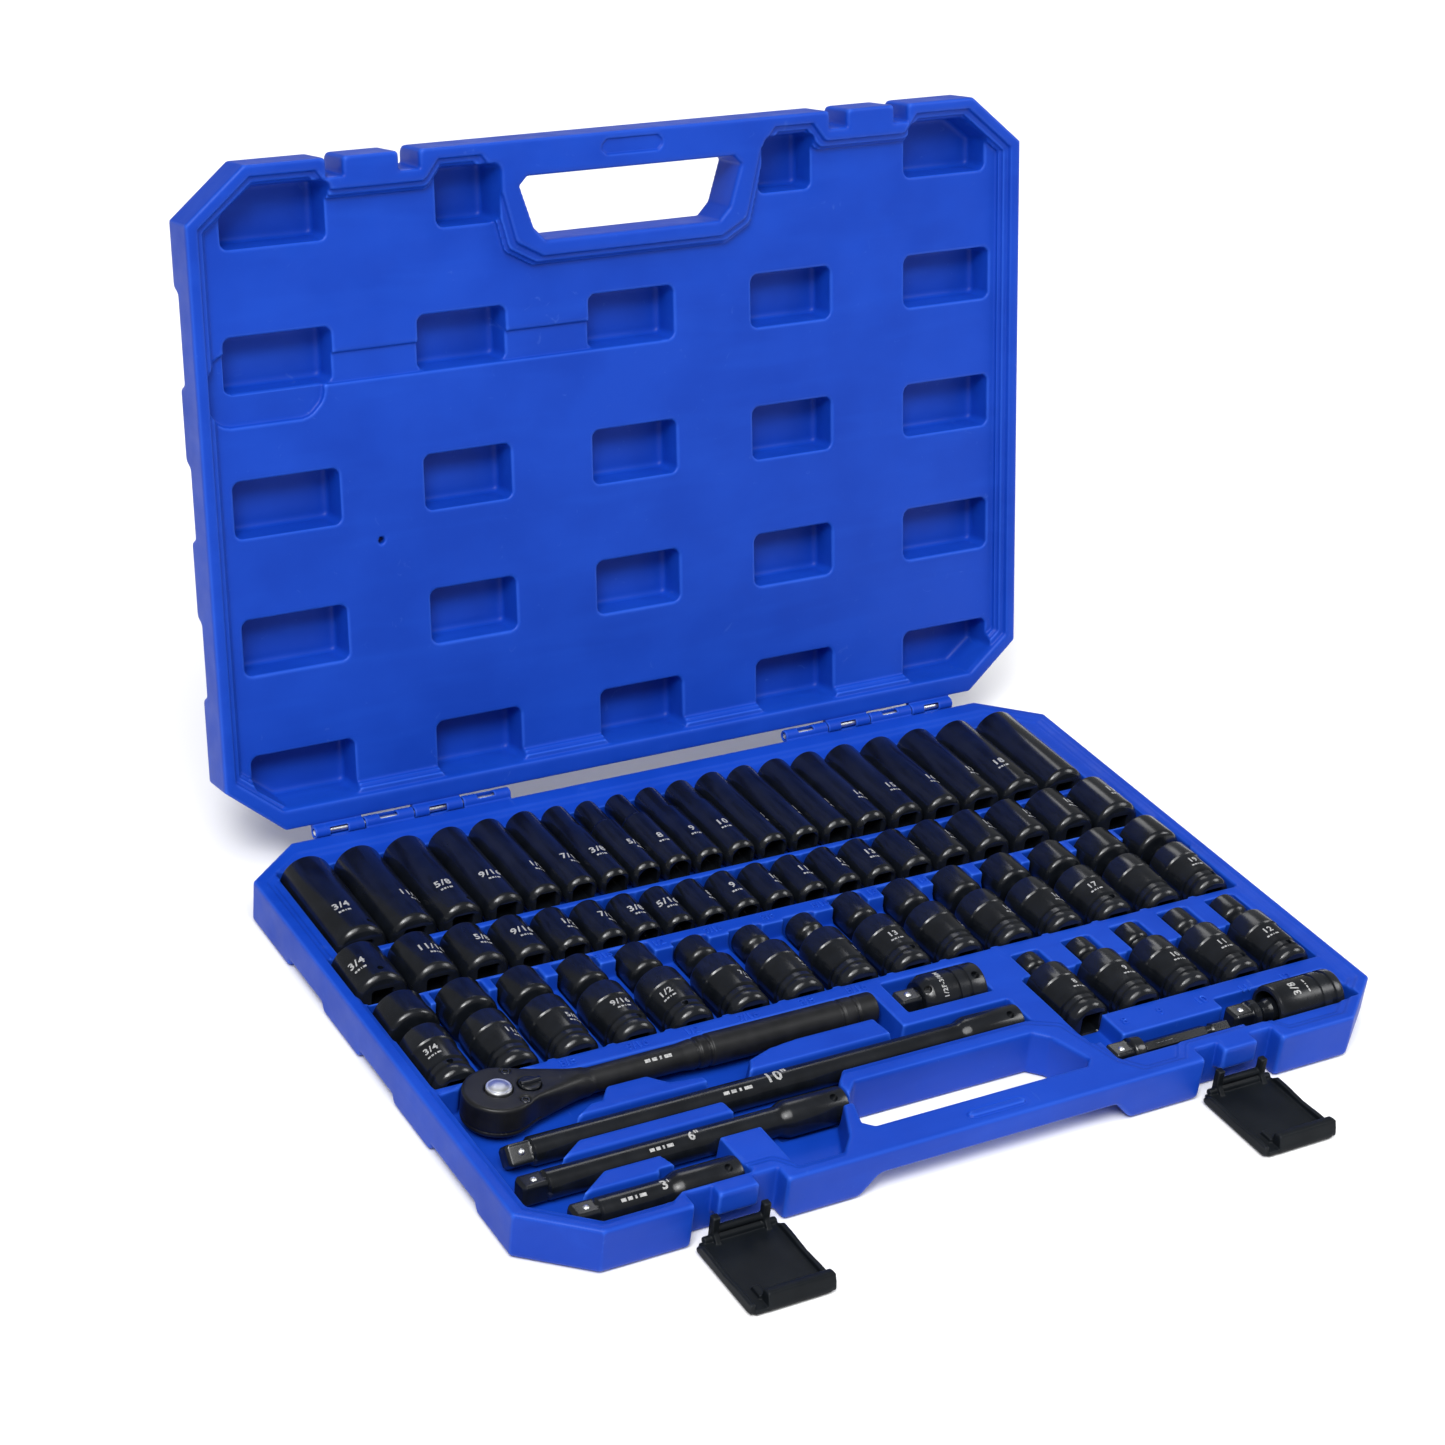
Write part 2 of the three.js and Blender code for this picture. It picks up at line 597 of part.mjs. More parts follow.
function swivelHead(name, x, row, radius) {
  const reach = headReach(radius);
  const profile = [
    [0, -6.2], [5.4, -3], [5.4, 3], [4.4, 6], [radius - 2.2, 8], [radius, 10.6], [radius, reach - 0.8],
    [radius - 0.8, reach], [0, reach],
  ];
  return node(name, turned(profile, 'y', x, row.ball, row.z), BLACK_STEEL);
}

function swivels(row, sizes) {
  return sizes.flatMap((size, i) => {
    const [label, radius] = SIZES[size];
    const x = row.first + row.pitch * i;
    return [
      swivelBody(`swivel_${label}_body`, x, row),
      swivelHead(`swivel_${label}_head`, x, row, headRadius(radius, row)),
    ];
  });
}

// ---- ratchet ----
function ratchet() {
  const { x, y, z, head, top, bottom, end, grip, anvil } = RATCHET;
  const neckAt = x + head * 0.7;
  const length = end - neckAt;
  const rim = 1.2;
  const disc = turned(
    [[0, bottom], [head - rim, bottom], [head, bottom + rim], [head, top - rim], [head - rim, top], [0, top]],
    'z', x, y, 0, 20,
  );
  const neck = loft([
    { z: bottom + 0.8, points: [[x + 4, y - 13], [x + 34, y - 5], [x + 34, y + 5], [x + 4, y + 13]] },
    { z: top - 0.8, points: [[x + 4, y - 12], [x + 34, y - 4.5], [x + 34, y + 4.5], [x + 4, y + 12]] },
  ]);
  const handle = turned(
    [[0, 12], [5.6, 12], [5.4, length * 0.45], [6.2, length * 0.56], [grip, length * 0.66],
      [grip, length - 5], [grip - 1, length], [0, length]],
    'x', neckAt, y, z, 12,
  );
  const hub = rod('z', x, y, bottom - 1, 6.2, anvil, 12);
  const buttonWell = rod('z', x, y, top - 4.6, 6.2, 6, 12);
  const knobWell = rod('z', x + 13.5, y - 1.5, top - 2, 5.3, 4, 12);
  const body = join([disc, neck, handle]).subtract(join([hub, buttonWell, knobWell]));
  const half = DRIVE / 2;
  const squareEnd = box(x - half, x + half, y - half, y + half, bottom - anvil, bottom);
  const drive = rod('z', x, y, bottom - 0.6, 5.8, anvil - 1, 12).add(squareEnd);
  const button = turned([[0, top - 2.8], [5.6, top - 2.8], [5.6, top + 1.2], [4.8, top + 2], [0, top + 2]],
    'z', x, y, 0, 16);
  const lever = rod('z', x + 13.5, y - 1.5, top - 1.7, 4.8, 2.6, 12)
    .add(box(x + 12, x + 18.6, y - 3.2, y + 0.2, top + 0.3, top + 2));
  return [
    node('ratchet_body', body, GRIP_STEEL),
    node('ratchet_drive', drive, BLACK_STEEL),
    node('ratchet_release_button', button, BRIGHT),
    node('ratchet_selector', lever, BLACK_STEEL),
  ];
}

// ---- extension bars and adapters ----
function squareDrive(x0, x1, y, z) {
  const half = DRIVE / 2;
  return box(x0, x1, y - half, y + half, z - half, z + half);
}

function extensionBar([name, left, y, length]) {
  const male = 11;
  const female = 27;
  const shaft = length - male;
  const profile = [
    [0, 0], [BAR.radius - 0.8, 0], [BAR.radius, 1.5], [BAR.radius, shaft - female - 3],
    [BAR.female, shaft - female + 1], [BAR.female, shaft - 0.8], [BAR.female - 0.8, shaft], [0, shaft],
  ];
  const body = turned(profile, 'x', left + male, y, BAR.z);
  const half = DRIVE / 2;
  const socket = box(left + length - RECESS, left + length + 1, y - half, y + half, BAR.z - half, BAR.z + half);
  return node(name, body.add(squareDrive(left, left + male + 1, y, BAR.z)).subtract(socket), BLACK_STEEL);
}

function driveAdapter() {
  const { left, right, y, z, radius } = ADAPTER;
  const male = 11;
  const length = right - left - male;
  const profile = [[0, 0], [radius - 2.5, 0], [radius, 3.5], [radius, length - 1], [radius - 1, length], [0, length]];
  const half = 12.7 / 2;
  const socket = box(right - RECESS, right + 1, y - half, y + half, z - half, z + half);
  const body = turned(profile, 'x', left + male, y, z).add(squareDrive(left, left + male + 1, y, z));
  return node('drive_adapter', body.subtract(socket), BLACK_STEEL);
}

function hexShankAdapter() {
  const { left, right, y, z, across, collar } = SHANK;
  const male = 10;
  const shank = across / Math.sqrt(3);
  const profile = [
    [0, 0], [collar - 0.8, 0], [collar, 1], [collar, 6], [shank + 0.6, 8.5], [0, 8.5],
  ];
  const grooveAt = right - 9;
  const shaft = rod('x', left + male + 8, y, z, shank, right - left - male - 8, 6);
  const groove = cut(rod('x', grooveAt, y, z, shank + 1, 3, 6), [rod('x', grooveAt - 1, y, z, shank - 0.7, 5, 8)]);
  const body = join([turned(profile, 'x', left + male, y, z), squareDrive(left, left + male + 1, y, z), shaft]);
  return node('hex_shank_adapter', body.subtract(groove), BLACK_STEEL);
}

function universalJoint() {
  const { left, centre, right, y, z, radius } = UNIVERSAL;
  const male = 10.5;
  const neck = [
    [0, left + male], [6.8, left + male], [6.8, centre - 9], [4.6, centre - 7], [4.6, centre - 4],
    [5.6, centre - 2.5], [5.6, centre + 3], [0, centre + 5.6],
  ];
  const drive = turned(neck, 'x', 0, y, z).add(squareDrive(left, left + male + 1, y, z));
  const cup = [
    [0, centre + 7.6], [7.6, centre + 7.6], [9, centre - 1.6], [radius - 0.6, centre - 1.6], [radius, centre - 0.6],
    [radius, right - 1], [radius - 1, right], [0, right],
  ];
  const half = DRIVE / 2;
  const socket = box(right - RECESS, right + 1, y - half, y + half, z - half, z + half);
  return [
    node('universal_joint_drive_end', drive, BLACK_STEEL),
    node('universal_joint_socket_end', turned(cup, 'x', 0, y, z).subtract(socket), BLACK_STEEL),
  ];
}

// ---- the whole set ----
const set = new THREE.Group();
set.add(
  caseBase(),
  caseLid(),
  hingePin(-1),
  hingePin(1),
  latch(-1),
  latch(1),
  joinedRow('deep_sockets_inch', DEEP, 0, INCH_SIZES, deepAxis, BLACK_STEEL),
  joinedRow('deep_sockets_metric', DEEP, INCH_SIZES, SIZES.length, deepAxis, BLACK_STEEL),
  joinedRow('shallow_sockets', SHALLOW, 0, SIZES.length, shallowAxis, BLACK_STEEL),
  ...swivels(LONG_ROW, LONG_ROW_SIZES),
  ...swivels(SHORT_ROW, SHORT_ROW_SIZES),
  ...ratchet(),
  ...BARS.map(extensionBar),
  driveAdapter(),
  hexShankAdapter(),
  ...universalJoint(),
);

export default set;
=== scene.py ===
import math

import bmesh
import bpy
import numpy as np
from mathutils import Matrix, Vector


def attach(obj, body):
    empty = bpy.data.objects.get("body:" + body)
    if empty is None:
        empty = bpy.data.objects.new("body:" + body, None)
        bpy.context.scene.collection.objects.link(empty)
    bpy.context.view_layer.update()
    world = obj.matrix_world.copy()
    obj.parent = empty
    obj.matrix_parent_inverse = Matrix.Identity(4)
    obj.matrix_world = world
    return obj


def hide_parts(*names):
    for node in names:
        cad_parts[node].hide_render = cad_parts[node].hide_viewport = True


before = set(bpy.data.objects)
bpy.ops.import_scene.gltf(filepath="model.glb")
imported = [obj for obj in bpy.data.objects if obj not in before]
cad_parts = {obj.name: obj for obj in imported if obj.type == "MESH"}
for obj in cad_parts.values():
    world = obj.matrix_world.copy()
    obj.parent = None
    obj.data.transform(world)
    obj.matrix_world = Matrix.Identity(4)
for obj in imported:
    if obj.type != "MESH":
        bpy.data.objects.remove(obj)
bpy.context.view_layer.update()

# ---------------------------------------------------------------- sizes, in millimetres
WIDTH, DEPTH = 440.0, 305.0
CORNER = (28.5, 23.5)
SIDE, FRONT, REAR = WIDTH / 2, -DEPTH / 2, DEPTH / 2
BASE_TOP, LID_FACE, LID_TOP = 21.8, 22.2, 45.2
TRAY = 20.0
RIM = 6.5
HINGE_Y, HINGE_Z, OPEN = 156.0, 22.0, 103.2
DRIVE = 9.53
HINGE_X, KNUCKLE = 128.0, 25.4
LATCH_X = 128.5
CLEARANCE = 0.6
NOTCH = 21.5
ROW_FLOOR, HOLLOW_FLOOR = 11, 7.2
SWIVEL_BODY, SWIVEL_RADIUS, SWIVEL_WAIST, SWIVEL_BALL = 35.5, 11.6, 10.95, 6.5
BAR_RADIUS, BAR_END = 6.3, 8.05

# name, outer radius and width across the flats of each size
SIZES = [
    ("3_4in", 12.7, 19.05), ("11_16in", 11.8, 17.46), ("5_8in", 10.9, 15.88), ("9_16in", 9.9, 14.29),
    ("1_2in", 9.1, 12.7), ("7_16in", 8.5, 11.11), ("3_8in", 7.9, 9.53), ("5_16in", 7.8, 7.94),
    ("8mm", 7.8, 8), ("9mm", 8.0, 9), ("10mm", 8.2, 10), ("11mm", 8.4, 11), ("12mm", 8.5, 12),
    ("13mm", 8.8, 13), ("14mm", 9.4, 14), ("15mm", 10.0, 15), ("16mm", 10.6, 16), ("17mm", 11.2, 17),
    ("18mm", 11.9, 18), ("19mm", 12.7, 19),
]
# rows: where they start and end, and the heights that set their tools
DEEP = dict(front=67.5, rear=131.0, left=-193.8, right=189.8, top=28.0, floor=12.5)
SHALLOW = dict(front=30.5, rear=59.0, left=-201.0, right=196.0, floor=10.0)
LONG_ROW = dict(pitch=28.5, first=-199.5, ball=-7.0, z=15.0,
    sizes=[0, 1, 2, 3, 4, 5, 6, 7, 13, 14, 15, 16, 17, 18, 19])
SHORT_ROW = dict(pitch=29.0, first=81.5, ball=-70.0, z=15.0, sizes=[8, 9, 10, 11, 12])
RATCHET = dict(x=-190.0, y=-57.2, z=17.0, top=25.0, bottom=10.8, end=-5.5)
# name, left end, y, length and the turn of the drive square
BARS = [
    ("extension_bar_10in", -202.0, -87.2, 254.0, 45),
    ("extension_bar_6in", -206.4, -109.0, 152.4, 4),
    ("extension_bar_3in", -195.3, -132.8, 76.2, 2),
]
BAR_Z = 14.0
# left end, y and z of the small tools
ADAPTER = (6.5, -58.2, 15.0)
SHANK = (73.0, -128.4, 15.0)
UNIVERSAL = (141.5, -126.0, 15.5)
UNIVERSAL_PIVOT = 165.0
BALL_OUT = 4.75
BASE_STEP, LID_STEP = 4.5, 39.2
HINGE_EDGE = 155

# how far each tool happens to be turned in its cradle, in degrees from its marking facing up
DEEP_TURNS = [-8, 40, -6, 6, 30, 28, 2, 36, 0, 4, -2, 46, 46, 44, 22, 10, 20, 24, -12, 66]
SHALLOW_TURNS = [-30, 18, 20, 6, 24, 36, 6, 0, 34, -4, 30, 12, 28, 6, 42, 34, 30, 28, 24, 20]
LONG_TURNS = [-24, 40, 30, 2, -30, 40, 44, 58, -6, 48, 30, 26, -14, 58, 2]
SHORT_TURNS = [12, 8, 6, -2, -12]


# ---------------------------------------------------------------- materials
def material(name, base, metallic, roughness, build, specular=0.5):
    made = bpy.data.materials.new(name)
    made.use_nodes = True
    shader = made.node_tree.nodes["Principled BSDF"]
    shader.inputs["Base Color"].default_value = (*base, 1)
    shader.inputs["Metallic"].default_value = metallic
    shader.inputs["Roughness"].default_value = roughness
    shader.inputs["Specular IOR Level"].default_value = specular
    build(made.node_tree, shader)
    return made


def noise(tree, scale, detail=3.0, distort=0.0, stretch=None):
    where = tree.nodes.new("ShaderNodeTexCoord")
    made = tree.nodes.new("ShaderNodeTexNoise")
    made.inputs["Scale"].default_value = scale
    made.inputs["Detail"].default_value = detail
    made.inputs["Distortion"].default_value = distort
    source = where.outputs["Object"]
    if stretch:
        mapping = tree.nodes.new("ShaderNodeMapping")
        mapping.inputs["Scale"].default_value = stretch
        tree.links.new(source, mapping.inputs["Vector"])
        source = mapping.outputs["Vector"]
    tree.links.new(source, made.inputs["Vector"])
    return made.outputs["Fac"]


def ramp(tree, source, stops):
    made = tree.nodes.new("ShaderNodeValToRGB")
    while len(made.color_ramp.elements) < len(stops):
        made.color_ramp.elements.new(0.5)
    for element, (place, colour) in zip(made.color_ramp.elements, stops):
        element.position = place
        element.color = (*colour, 1)
    tree.links.new(source, made.inputs["Fac"])
    return made.outputs["Color"]


def grey(a, b, lo=0.3, hi=0.7):
    return [(lo, (a, a, a)), (hi, (b, b, b))]


def mix(tree, factor, a, b):
    made = tree.nodes.new("ShaderNodeMix")
    made.data_type = "RGBA"
    for socket, value in ((made.inputs[0], factor), (made.inputs[6], a), (made.inputs[7], b)):
        if isinstance(value, bpy.types.NodeSocket):
            tree.links.new(value, socket)
        else:
            socket.default_value = value if isinstance(value, float) else (*value, 1)
    return made.outputs[2]


def bump(tree, shader, layers):
    last = None
    for source, strength, distance in layers:
        made = tree.nodes.new("ShaderNodeBump")
        made.inputs["Strength"].default_value = strength
        made.inputs["Distance"].default_value = distance
        tree.links.new(source, made.inputs["Height"])
        if last:
            tree.links.new(last, made.inputs["Normal"])
        last = made.outputs["Normal"]
    tree.links.new(last, shader.inputs["Normal"])


def edges(tree, lo, hi):
    # a mask of convex edges from pointiness; the lighter colours mixed in with it are partly edge wear and
    # partly painted highlight
    where = tree.nodes.new("ShaderNodeNewGeometry")
    return ramp(tree, where.outputs["Pointiness"], grey(0, 1, lo, hi))


def blue_nodes(tree, shader):
    cloud = ramp(tree, noise(tree, 22, 4), [(0.35, (0.003, 0.041, 0.375)), (0.65, (0.005, 0.051, 0.430))])
    flow = noise(tree, 30, 2, 0.4, (0.5, 3, 3))
    streaked = mix(tree, ramp(tree, flow, grey(0, 0.3, 0.5, 0.75)), cloud, (0.008, 0.066, 0.49))
    # lighter blue on convex edges: partly edge wear, partly a painted highlight
    wear_and_edge_highlight = mix(tree, edges(tree, 0.515, 0.60), streaked, (0.030, 0.13, 0.70))
    scuffs = noise(tree, 160, 6, 1.5, (1, 0.25, 1))
    dusty = mix(tree, ramp(tree, scuffs, grey(0, 0.35, 0.68, 0.78)), wear_and_edge_highlight, (0.05, 0.13, 0.52))
    tree.links.new(dusty, shader.inputs["Base Color"])
    rough = ramp(tree, noise(tree, 90, 5), grey(0.40, 0.52))
    tree.links.new(rough, shader.inputs["Roughness"])
    grain = noise(tree, 1500, 2)
    waves = noise(tree, 35, 2)
    bump(tree, shader, [(grain, 0.22, 0.00012), (waves, 0.25, 0.0008)])


def steel_nodes(low, high, rough_low, rough_high, grain_strength=0.12):
    def build(tree, shader):
        mottle = ramp(tree, noise(tree, 130, 4), [(0.35, low), (0.65, high)])
        # lighter steel on convex edges: partly edge wear, partly a painted highlight
        wear_and_edge_highlight = mix(tree, edges(tree, 0.53, 0.62), mottle, (0.020, 0.023, 0.030))
        tree.links.new(wear_and_edge_highlight, shader.inputs["Base Color"])
        smear = noise(tree, 60, 5, 0.6, (1, 0.4, 1))
        tree.links.new(ramp(tree, smear, grey(rough_low, rough_high)), shader.inputs["Roughness"])
        grain = noise(tree, 2200, 2)
        dents = noise(tree, 150, 3)
        bump(tree, shader, [(grain, grain_strength, 0.00008), (dents, 0.06, 0.0003)])
    return build


def plastic_black(tree, shader):
    mottle = ramp(tree, noise(tree, 60, 4),
        [(0.35, (0.004, 0.0055, 0.0075)), (0.68, (0.007, 0.009, 0.0115))])
    # lighter black on convex edges: partly edge wear, partly a painted highlight
    wear_and_edge_highlight = mix(tree, edges(tree, 0.53, 0.62), mottle, (0.03, 0.034, 0.042))
    tree.links.new(wear_and_edge_highlight, shader.inputs["Base Color"])
    tree.links.new(ramp(tree, noise(tree, 45, 5), grey(0.42, 0.60)), shader.inputs["Roughness"])
    bump(tree, shader, [(noise(tree, 1300, 2), 0.25, 0.0001), (noise(tree, 70, 3), 0.2, 0.0004)])


def bright_nodes(tree, shader):
    tree.links.new(ramp(tree, noise(tree, 300, 4), grey(0.30, 0.46)), shader.inputs["Roughness"])
    bump(tree, shader, [(noise(tree, 900, 3, 0, (1, 6, 1)), 0.08, 0.00005)])


def etched_nodes(tree, shader):
    patchy = ramp(tree, noise(tree, 1400, 4), [(0.3, (0.20, 0.205, 0.21)), (0.6, (0.46, 0.46, 0.455))])
    tree.links.new(patchy, shader.inputs["Base Color"])


def floor_nodes(tree, shader):
    tint = ramp(tree, noise(tree, 3, 2), [(0.3, (0.93, 0.93, 0.93)), (0.7, (0.95, 0.95, 0.95))])
    tree.links.new(tint, shader.inputs["Base Color"])


BLUE = material("blue_plastic", (0.004, 0.046, 0.40), 0, 0.45, blue_nodes, 0.18)
LATCH_BLACK = material("black_plastic", (0.014, 0.015, 0.018), 0, 0.5, plastic_black, 0.14)
BLACK = material("black_oxide", (0.008, 0.009, 0.012), 0.0, 0.25,
    steel_nodes((0.0035, 0.0045, 0.0065), (0.006, 0.0075, 0.0105), 0.17, 0.28), 0.45)
GRIP = material("phosphated_steel", (0.012, 0.012, 0.012), 0.0, 0.45,
    steel_nodes((0.005, 0.0055, 0.0065), (0.010, 0.0105, 0.012), 0.36, 0.48, 0.3), 0.35)
CHROME = material("bright_steel", (0.78, 0.80, 0.82), 1, 0.38, bright_nodes)
ETCHED = material("etched_marks", (0.4, 0.4, 0.4), 0, 0.6, etched_nodes)
FLOOR = material("pale_floor", (0.94, 0.94, 0.94), 0, 0.7, floor_nodes)


# ---------------------------------------------------------------- meshes
HINGE = Vector((0, HINGE_Y, HINGE_Z)) / 1000
OPENED = (Matrix.Translation(HINGE) @ Matrix.Rotation(math.radians(-OPEN), 4, "X")
    @ Matrix.Translation(-HINGE))


def link(name, data):
    made = bpy.data.objects.new(name, data)
    bpy.context.scene.collection.objects.link(made)
    return made


def evaluated(made):
    """a mesh of an object as its modifiers or its text settings leave it"""
    bpy.context.view_layer.update()
    return bpy.data.meshes.new_from_object(made.evaluated_get(bpy.context.evaluated_depsgraph_get()))


def add(name, vertices, faces, finish, body, stands_for=(), sharp=0, turned=None):
    """vertices in millimetres; faces a list of index tuples, or an (n, 4) array"""
    mesh = bpy.data.meshes.new(name)
    points = np.asarray(vertices, dtype=np.float32) / 1000
    if isinstance(faces, np.ndarray):
        mesh.vertices.add(len(points))
        mesh.vertices.foreach_set("co", points.ravel())
        mesh.loops.add(faces.size)
        mesh.loops.foreach_set("vertex_index", faces.astype(np.int32).ravel())
        mesh.polygons.add(len(faces))
        mesh.polygons.foreach_set("loop_start", np.arange(0, faces.size, 4, dtype=np.int32))
        mesh.update(calc_edges=True)
    else:
        mesh.from_pydata(points.tolist(), [], faces)
    if turned is not None:
        mesh.transform(turned)
    mesh.validate()
    mesh.shade_smooth()
    if sharp:
        mesh.set_sharp_from_angle(angle=math.radians(sharp))
    mesh.materials.append(finish)
    made = link(name, mesh)
    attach(made, body)
    if stands_for:
        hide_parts(*stands_for)
    return made


# ---------------------------------------------------------------- distance fields
def grid(lo, hi, step):
    axes = [np.arange(a, b + step, step, dtype=np.float32) for a, b in zip(lo, hi)]
    return axes[0][:, None, None], axes[1][None, :, None], axes[2][None, None, :], step


def larger(a, b, k=1.2):
    """the larger of two distances, with the edge between them rounded"""
    h = np.clip(0.5 + 0.5 * (a - b) / k, 0, 1)
    return a * h + b * (1 - h) + k * h * (1 - h)


def smaller(a, b, k=1.2):
    return -larger(-a, -b, k)


def outline_distance(points, x, y):
    """distance to a polygon, negative inside"""
    best = None
    inside = np.zeros(np.broadcast(x, y).shape, dtype=bool)
    for (ax, ay), (bx, by) in zip(points, points[1:] + points[:1]):
        ex, ey = bx - ax, by - ay
        t = np.clip(((x - ax) * ex + (y - ay) * ey) / (ex * ex + ey * ey), 0, 1)
        away = (x - ax - t * ex) ** 2 + (y - ay - t * ey) ** 2
        best = away if best is None else np.minimum(best, away)
        crosses = ((ay > y) != (by > y)) & (x < (bx - ax) * (y - ay) / ((by - ay) or 1e-9) + ax)
        inside ^= crosses
    return np.where(inside, -np.sqrt(best), np.sqrt(best)).astype(np.float32)


def surface(field, origin, step):
    """the zero surface of a field as quads, one vertex to each cell that it passes through"""
    inside = field < 0
    nx, ny, nz = field.shape
    corners = [(i, j, k) for i in (0, 1) for j in (0, 1) for k in (0, 1)]
    count = sum(inside[i:nx - 1 + i, j:ny - 1 + j, k:nz - 1 + k].astype(np.int8) for i, j, k in corners)
    cells = np.argwhere((count > 0) & (count < 8))
    number = -np.ones((nx - 1, ny - 1, nz - 1), dtype=np.int64)
    number[cells[:, 0], cells[:, 1], cells[:, 2]] = np.arange(len(cells))
    total = np.zeros((len(cells), 3))
    hits = np.zeros(len(cells))
    for a in corners:
        for axis in range(3):
            if a[axis]:
                continue
            b = list(a)
            b[axis] = 1
            fa = field[cells[:, 0] + a[0], cells[:, 1] + a[1], cells[:, 2] + a[2]]
            fb = field[cells[:, 0] + b[0], cells[:, 1] + b[1], cells[:, 2] + b[2]]
            cross = (fa < 0) != (fb < 0)
            t = np.where(cross, fa / np.where(cross, fa - fb, 1), 0)
            spot = np.tile(np.array(a, dtype=float), (len(cells), 1))
            spot[:, axis] += t
            total += spot * cross[:, None]
            hits += cross
    vertices = (cells + total / hits[:, None]) * step + np.array(origin)
    quads = []
    for axis, (u, v) in ((0, (1, 2)), (1, (2, 0)), (2, (0, 1))):
        here = [slice(1, -1)] * 3
        here[axis] = slice(0, -1)
        ahead = [slice(1, -1)] * 3
        ahead[axis] = slice(1, None)
        first, second = inside[tuple(here)], inside[tuple(ahead)]
        for flip, chosen in ((False, first & ~second), (True, ~first & second)):
            at = np.argwhere(chosen) + 1
            at[:, axis] -= 1
            around = []
            for du, dv in ((-1, -1), (0, -1), (0, 0), (-1, 0)):
                spot = at.copy()
                spot[:, u] += du
                spot[:, v] += dv
                around.append(number[spot[:, 0], spot[:, 1], spot[:, 2]])
            quad = np.stack(around, 1)
            quads.append(quad[:, ::-1] if flip else quad)
    return vertices, np.concatenate(quads)


# ---------------------------------------------------------------- the case's outlines
def cornered(x0, x1, y0, y1, cx, cy):
    """a rectangle with its corners cut off"""
    return [(x0 + cx, y0), (x1 - cx, y0), (x1, y0 + cy), (x1, y1 - cy), (x1 - cx, y1), (x0 + cx, y1),
        (x0, y1 - cy), (x0, y0 + cy)]


def mouth_outline(inset):
    """the tray's and the lid's inner outline, running round the handle and the latch notches"""
    side, front, rear, lost = SIDE - inset, FRONT + inset - 0.5, REAR - inset - 4, inset * 0.42
    bow, near, far = -144 + inset, 107 - inset * 0.7, 150 + inset * 0.7
    rear_lost = lost + 3
    handle_rear, handle_side = -106 + inset + 1.5, 58.5 + inset + 1.5
    right = [
        (handle_side - 15, handle_rear), (handle_side - 4, handle_rear - 6), (handle_side + 4, front + 12),
        (handle_side + 14, front), (near - 5, front), (near + 2, bow), (far - 2, bow), (far + 5, front),
        (side - CORNER[0] + lost, front), (side, front + CORNER[1] - lost),
        (side, rear - CORNER[1] + rear_lost), (side - CORNER[0] + rear_lost, rear),
    ]
    return [(-x, y) for x, y in reversed(right)] + right


HANDLE_OUTLINE = [(-54.5, -135.5), (54.5, -135.5), (58.5, -131.5), (52, -112), (46, -106), (-46, -106),
    (-52, -112), (-58.5, -131.5)]
ISLANDS = [
    [(-165, -80), (-156, -74.5), (-150, -74), (-144, -66.5), (-125, -66.5), (-118, -74), (-103, -76),
    (-102.5, -80)],
    [(-82, -80), (-78, -73), (-66, -69), (-52, -67.5), (-12, -67.5), (-10.5, -80)],
    [(-183, -102), (-172, -94.3), (-104, -94.3), (-103, -102)],
    [(-186, -125.6), (-172, -116), (-146, -116), (-143, -125.6)],
]
REST = [(-146, -79), (-142, -70), (-127, -70), (-123, -79)]
REST_TOP = 21.4
HOLLOW = [
    (-212, -46), (-212, -124), (-188, -145), (-156, -145), (-149, -140.5), (-117.8, -140.5),
    (-117.8, -115.5), (-98, -115.5), (-98, -145), (-76, -145), (-68, -136), (-52, -103), (-46, -96.2),
    (53, -96.2), (53, -78), (-2.5, -78), (-2.5, -50.5), (-160, -50.5), (-170, -42),
]


def row_places(left, right):
    widths = [a[1] + b[1] for a, b in zip(SIZES, SIZES[1:])]
    gap = (right - left - sum(widths)) / len(widths)
    places = [left]
    for w in widths:
        places.append(places[-1] + w + gap)
    return places


DEEP_X = row_places(DEEP["left"], DEEP["right"])
SHALLOW_X = row_places(SHALLOW["left"], SHALLOW["right"])


def deep_axis(radius):
    return DEEP["top"] - radius


def shallow_axis(radius):
    return 14.1 + 0.28 * (radius - 7.8)


def head_reach(radius):
    """how far a swivel head reaches beyond the middle of its ball"""
    return 26.5 if radius > 8.6 else 20.5 + 2.6 * (radius - 7.8)


def short_head(radius):
    """the short row's heads are slimmer than the plain sockets of their size"""
    return 6.9 + 1.9 * (radius - 7.8)


ROUND = 3.6
TURN = 4.5


def window(a, b, span, big=None):
    """a lid pocket's rounded outline; big names the corner that follows the case's own corner"""
    points = cornered(a + ROUND, b - ROUND, span[0] + ROUND, span[1] - ROUND, 0.2, 0.2)
    if big:
        left, rear = big
        along_x = {(True, False): 0, (False, False): 1, (False, True): 4, (True, True): 5}[big]
        along_y = {(True, False): 7, (False, False): 2, (False, True): 3, (True, True): 6}[big]
        points[along_x] = (a + 16 if left else b - 16, points[along_x][1])
        points[along_y] = (points[along_y][0], span[1] - 13 if rear else span[0] + 13)
    return points


